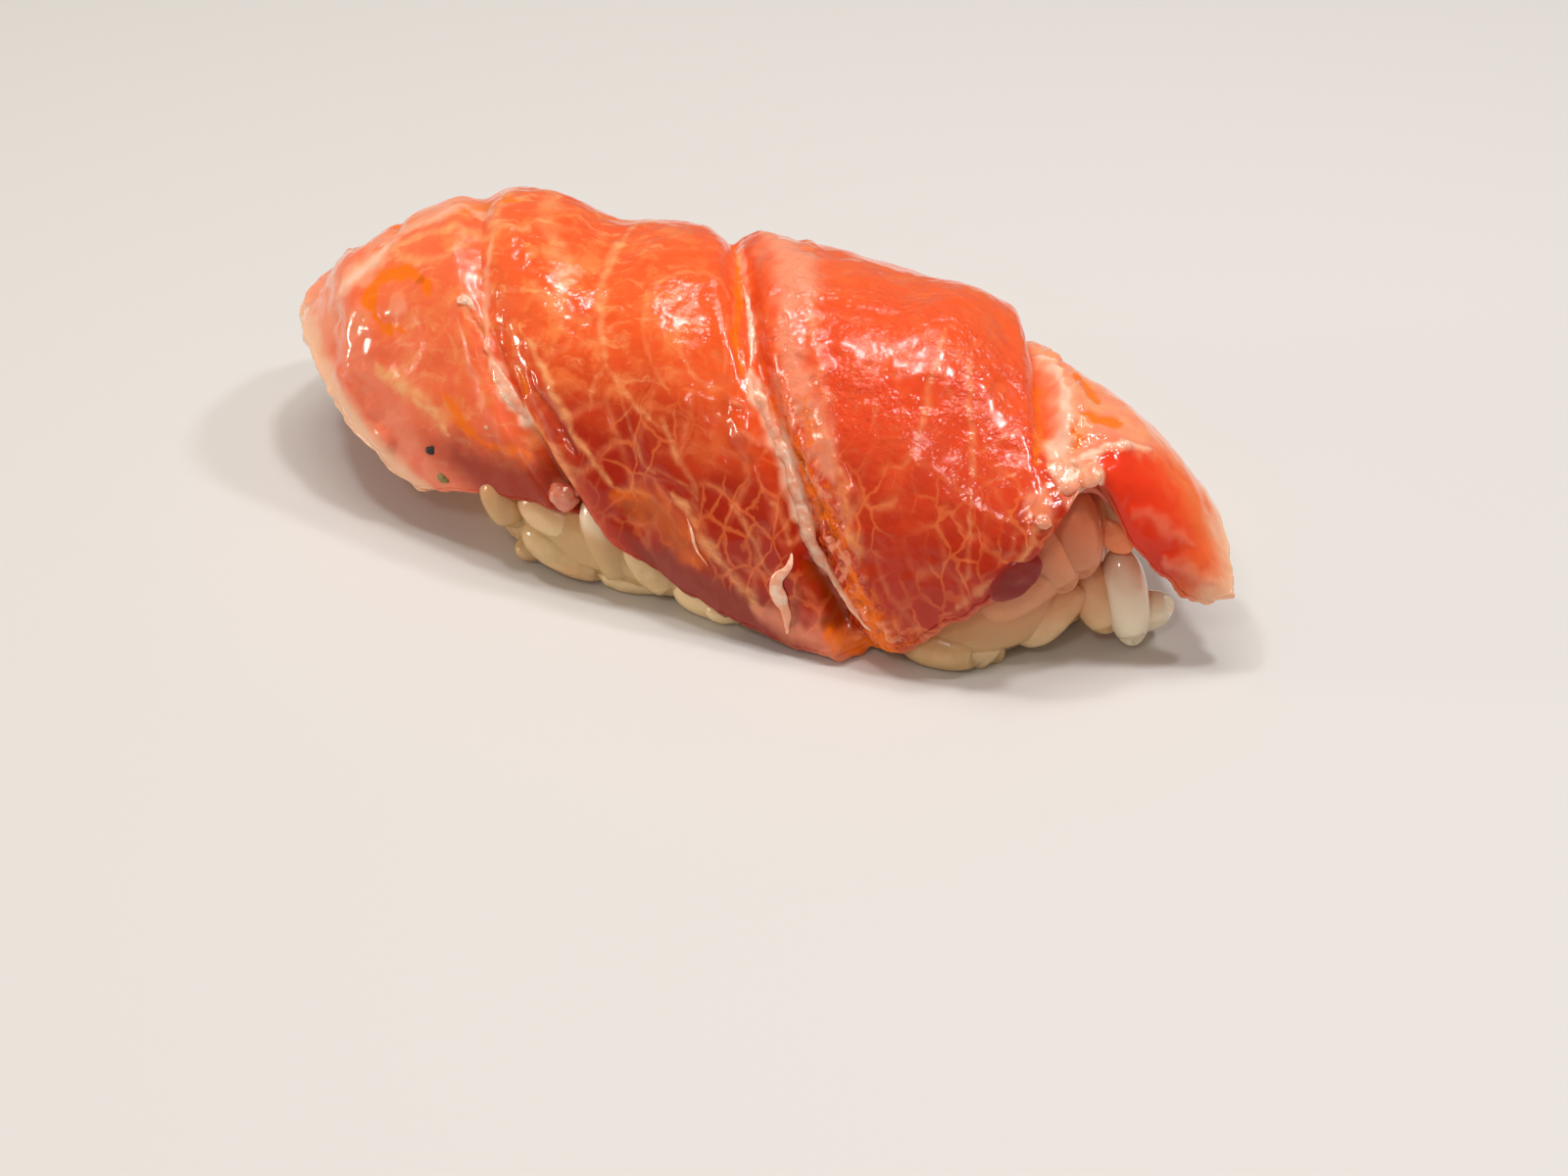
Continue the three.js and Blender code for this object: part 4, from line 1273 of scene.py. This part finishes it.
# Grains set one by one where the slice leaves them bare: from one end to the other in mm, and girth.
frontGrains = [
    ((-20.0, -11.0, 6.8), (-18.4, -11.6, 3.6), 1.0),
    ((-16.9, -11.9, 3.4), (-10.6, -12.0, 1.5), 1.12),
    ((-17.2, -11.4, 6.0), (-11.6, -11.8, 4.0), 1.1),
    ((-11.3, -12.2, 7.4), (-8.7, -12.5, 1.5), 1.08),
    ((-8.6, -11.9, 5.2), (-4.8, -12.3, 1.5), 1.15),
    ((-4.4, -12.1, 1.9), (1.6, -12.6, 1.3), 1.05),
    ((13.2, -12.2, 1.6), (18.6, -11.4, 1.5), 1.05),
    ((15.8, -9.2, 2.8), (19.6, -11.9, 1.4), 1.15),
    ((17.4, -9.9, 1.7), (22.4, -7.9, 5.8), 1.2),
    ((18.6, -10.2, 4.6), (24.0, -8.0, 9.0), 1.2),
    ((20.8, -8.0, 1.5), (24.4, -6.4, 6.2), 1.2),
    ((23.2, -7.2, 13.2), (24.4, -6.6, 7.4), 1.3),
    ((21.6, -8.9, 11.2), (23.4, -7.4, 6.6), 1.2),
    ((24.2, -5.3, 6.6), (26.4, -5.2, 1.9), 1.1),
]
looseGrains = [
    ((26.5, -4.2, 7.4), (28.4, -5.4, 1.3), 1.05),
    ((27.0, -2.6, 1.5), (29.9, -2.8, 2.6), 1.0),
]


def placeGrain(model, ends, shade):
    start, end, girth = Vector(ends[0]), Vector(ends[1]), ends[2]
    outward = Vector((0.35, -0.9, 0.25)) if start.x > 15 else Vector((0, -1, 0.1))
    stretch = ((end - start).length + rice["overlap"]) / rice["grain"][0]
    size = Matrix.Diagonal((stretch, girth, girth, 1))
    return copyGrain(model, poseOf((start + end) / 2, end - start, outward.normalized()) @ size, 1.0, shade)


def buildRice(material):
    model = addGrain(10, 8)
    grains = [copyGrain(model, poseOf(c, a, o), size, shade) for c, a, o, size, shade in grainPoses()]
    print("rice grains:", len(grains))
    bpy.data.objects.remove(model)
    model = addGrain(20, 20)
    grains += [placeGrain(model, ends, (i * 0.37) % 1) for i, ends in enumerate(frontGrains)]
    paintedHighlightGrain = grains[3 - len(frontGrains)]  # the upright one at the left, whose top gets the lit colour as a painted highlight
    storeNumbers(paintedHighlightGrain, loose=smoothStep(5, 7, verticesOf(paintedHighlightGrain)[:, 2] / mm) * 0.8)
    pressed = joinAs(grains, "riceGrains", material)
    placed = [placeGrain(model, ends, 0.3 + 0.3 * i) for i, ends in enumerate(looseGrains)]
    bpy.data.objects.remove(model)
    free = joinAs(placed, "looseGrains", material)
    # the loose grains get the lit colour as painted light, and more gloss
    storeNumbers(free, loose=1)
    return pressed, free


def buildRiceCore(grains, material):
    # a smooth sticky skin just under the grains' own surface closes the gaps between them
    core = addBall(150, 84)
    core.name = core.data.name = "riceCore"
    core.data.materials.append(material)
    inset = 1 - rice["coreInset"] / rice["halfWidth"]
    spots = []
    for x, y, z in verticesOf(core):
        side = riceSide(math.atan2(y, x), (z + 1) / 2 * 0.999)
        spread = min(math.hypot(x, y) / 0.6, 1) * inset
        spots.append((side.x * spread, side.y * spread, 0.6 + side.z * 0.8))
    spots = np.array(spots)
    moveVertices(core, spots)
    # how far the grains' surface is, then evened out
    tree = BVHTree.FromObject(grains, bpy.context.evaluated_depsgraph_get())
    normals = np.array([corner.normal[:] for corner in core.data.vertices])
    outside = 5  # mm
    height = np.full(len(spots), -0.5)
    for i, (spot, normal) in enumerate(zip(spots, normals)):
        away = tree.ray_cast(Vector(spot + normal * outside) * mm, -Vector(normal), outside * mm)[3]
        if away is not None:
            height[i] = outside - away / mm
    pairs = np.array([edge.vertices[:] for edge in core.data.edges])
    first, second = pairs.T
    count = np.bincount(pairs.ravel(), minlength=len(spots))
    for i in range(rice["coreEvening"]):
        total = np.bincount(first, height[second], len(spots))
        total = total + np.bincount(second, height[first], len(spots))
        height = (height + total / count) / 2
    left, right, rear = rice["coreBelow"]
    below = left + (right - left) * smoothStep(10, 16, spots[:, 0])
    below = below + (rear - below) * smoothStep(-3.5, 0.5, spots[:, 1])
    moveVertices(core, spots + normals * (height - below)[:, None], rice["coreLowest"])
    return core


def riceFinish():
    f = Finish("cookedRice", riceColors, "shadedPearl")
    mottled = f.grain(f.solid, 1.3, 4.0)
    across, rearward, upward = (f.node("SeparateXYZ", None, {0: f.solid}, i) for i in range(3))
    f.cover(f.fade(mottled * 0.5 + f.number("shade") * 0.6, 0.3, 0.8), "shadedMilk")
    f.cover(f.fade(f.grain(f.solid, 5.0, 2.0), 0.45, 0.7) * 0.4, "amber")
    # painted glow and shade from the flesh: the rice turns warm higher up and towards the tail, then deep red
    # under it
    fleshGlowAndShade = f.fade(upward + f.fade(across, 5.0, 20.0) * 3.0, 3.0, 11.0)
    f.cover(fleshGlowAndShade * (1 - f.fade(rearward, -2.0, 5.0) * 0.6) * 0.8, "fleshGlowAndShade")
    f.cover(f.fade(upward, 7.0, 13.0) * f.fade(across, 12.0, 20.0) * 0.6, "deepAndPaintedLight")
    # painted light: the lit, glossier grains
    loose = f.number("loose")
    f.cover(loose * 0.9, "loose")
    # painted glow and shade on the tops of the loose grains under the tail
    f.cover(loose * f.fade(upward, 3.0, 7.5) * f.fade(across, 15.0, 20.0) * 0.4, "fleshGlowAndShade")
    height = f.grain(f.solid, 0.6) * 0.03 + f.grain(f.solid, 1.8, 2.0) * 0.14
    return f.finish(
        mottled * 0.14 + 0.16, height, Subsurface_Weight=0.15, Subsurface_Radius=(1.0, 0.75, 0.5),
        Subsurface_Scale=0.0008, IOR=1.44, Specular_IOR_Level=0.4, Coat_Weight=loose * 0.8 + 0.2,
        Coat_Roughness=0.05, Coat_IOR=1.6,
    )


riceMaterial = riceFinish()
riceGrains, riceEnds = buildRice(riceMaterial)
riceCore = buildRiceCore(riceGrains, riceMaterial)
print("rice built:", len(riceGrains.data.polygons), "faces")


# Floor, light and air
studio = {
    "colors": {"floor": (220.59, 217.85, 213.65), "worn": (223.28, 221.94, 219.22)},
    "air": (1.0, 0.91, 0.8),
    "airStrength": 0.24,
    # name, place in m, size in m, power in W, colour
    "lights": [
        ("topLight", (-0.04, 0.05, 0.44), (0.26, 0.14), 0.62, (1.0, 0.94, 0.86)),
        ("glintLeft", (-0.142, -0.012, 0.42), (0.045, 0.045), 0.28, (0.96, 0.97, 1.0)),
        ("glintMiddle", (0.09, 0.03, 0.42), (0.045, 0.045), 0.46, (0.96, 0.97, 1.0)),
        ("glintRight", (0.28, 0.11, 0.42), (0.05, 0.045), 0.56, (0.96, 0.97, 1.0)),
        ("leftFill", (-0.46, -0.19, 0.07), (0.07, 0.07), 0.62, (1.0, 0.88, 0.74)),
        ("frontFill", (0.25, -0.45, 0.25), (0.5, 0.5), 0.14, (1.0, 0.93, 0.86)),
        ("frontGlint", (0.02, -0.36, 0.4), (0.06, 0.06), 0.24, (1.0, 0.97, 0.94)),
    ],
}


def addStudio():
    floor = addShape(bpy.ops.mesh.primitive_plane_add, size=4)
    floor.name = "paleFloor"
    f = Finish("paleFloor", studio["colors"], "floor")
    f.cover(f.grain(f.solid, 1000 / 6, 2.0, 0.5) * 0.2, "worn")
    floor.data.materials.append(f.finish(0.6))
    for name, place, size, power, color in studio["lights"]:
        aim = (Vector(place) - Vector((0, 0, 0.01))).to_track_quat("Z", "Y").to_euler()
        bpy.ops.object.light_add(type="AREA", location=place, rotation=aim)
        lamp = bpy.context.object
        lamp.name = name
        lamp.data.energy = power
        lamp.data.shape = "RECTANGLE"
        lamp.data.size, lamp.data.size_y = size
        lamp.data.color = color
    world = bpy.data.worlds.new("softAir")
    bpy.context.scene.world = world
    world.use_nodes = True
    back = world.node_tree.nodes["Background"]
    back.inputs["Color"].default_value = (*studio["air"], 1)
    back.inputs["Strength"].default_value = studio["airStrength"]
    bpy.context.scene.view_settings.view_transform = "Standard"


addStudio()
print("studio lit")


# What each piece stands for
def settle(piece, slot, *nodes):
    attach(piece, "root")
    if nodes:
        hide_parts(*nodes)


settle(flesh, "tuna_slice", "tuna_slice")
settle(sinews, "tuna_slice")
settle(lumps, "tuna_slice")
settle(crumbs, "tuna_slice")
settle(tucked, "tuna_slice")
settle(riceGrains, "rice", "rice")
settle(riceCore, "rice")
settle(riceEnds, "rice")
bpy.context.view_layer.update()
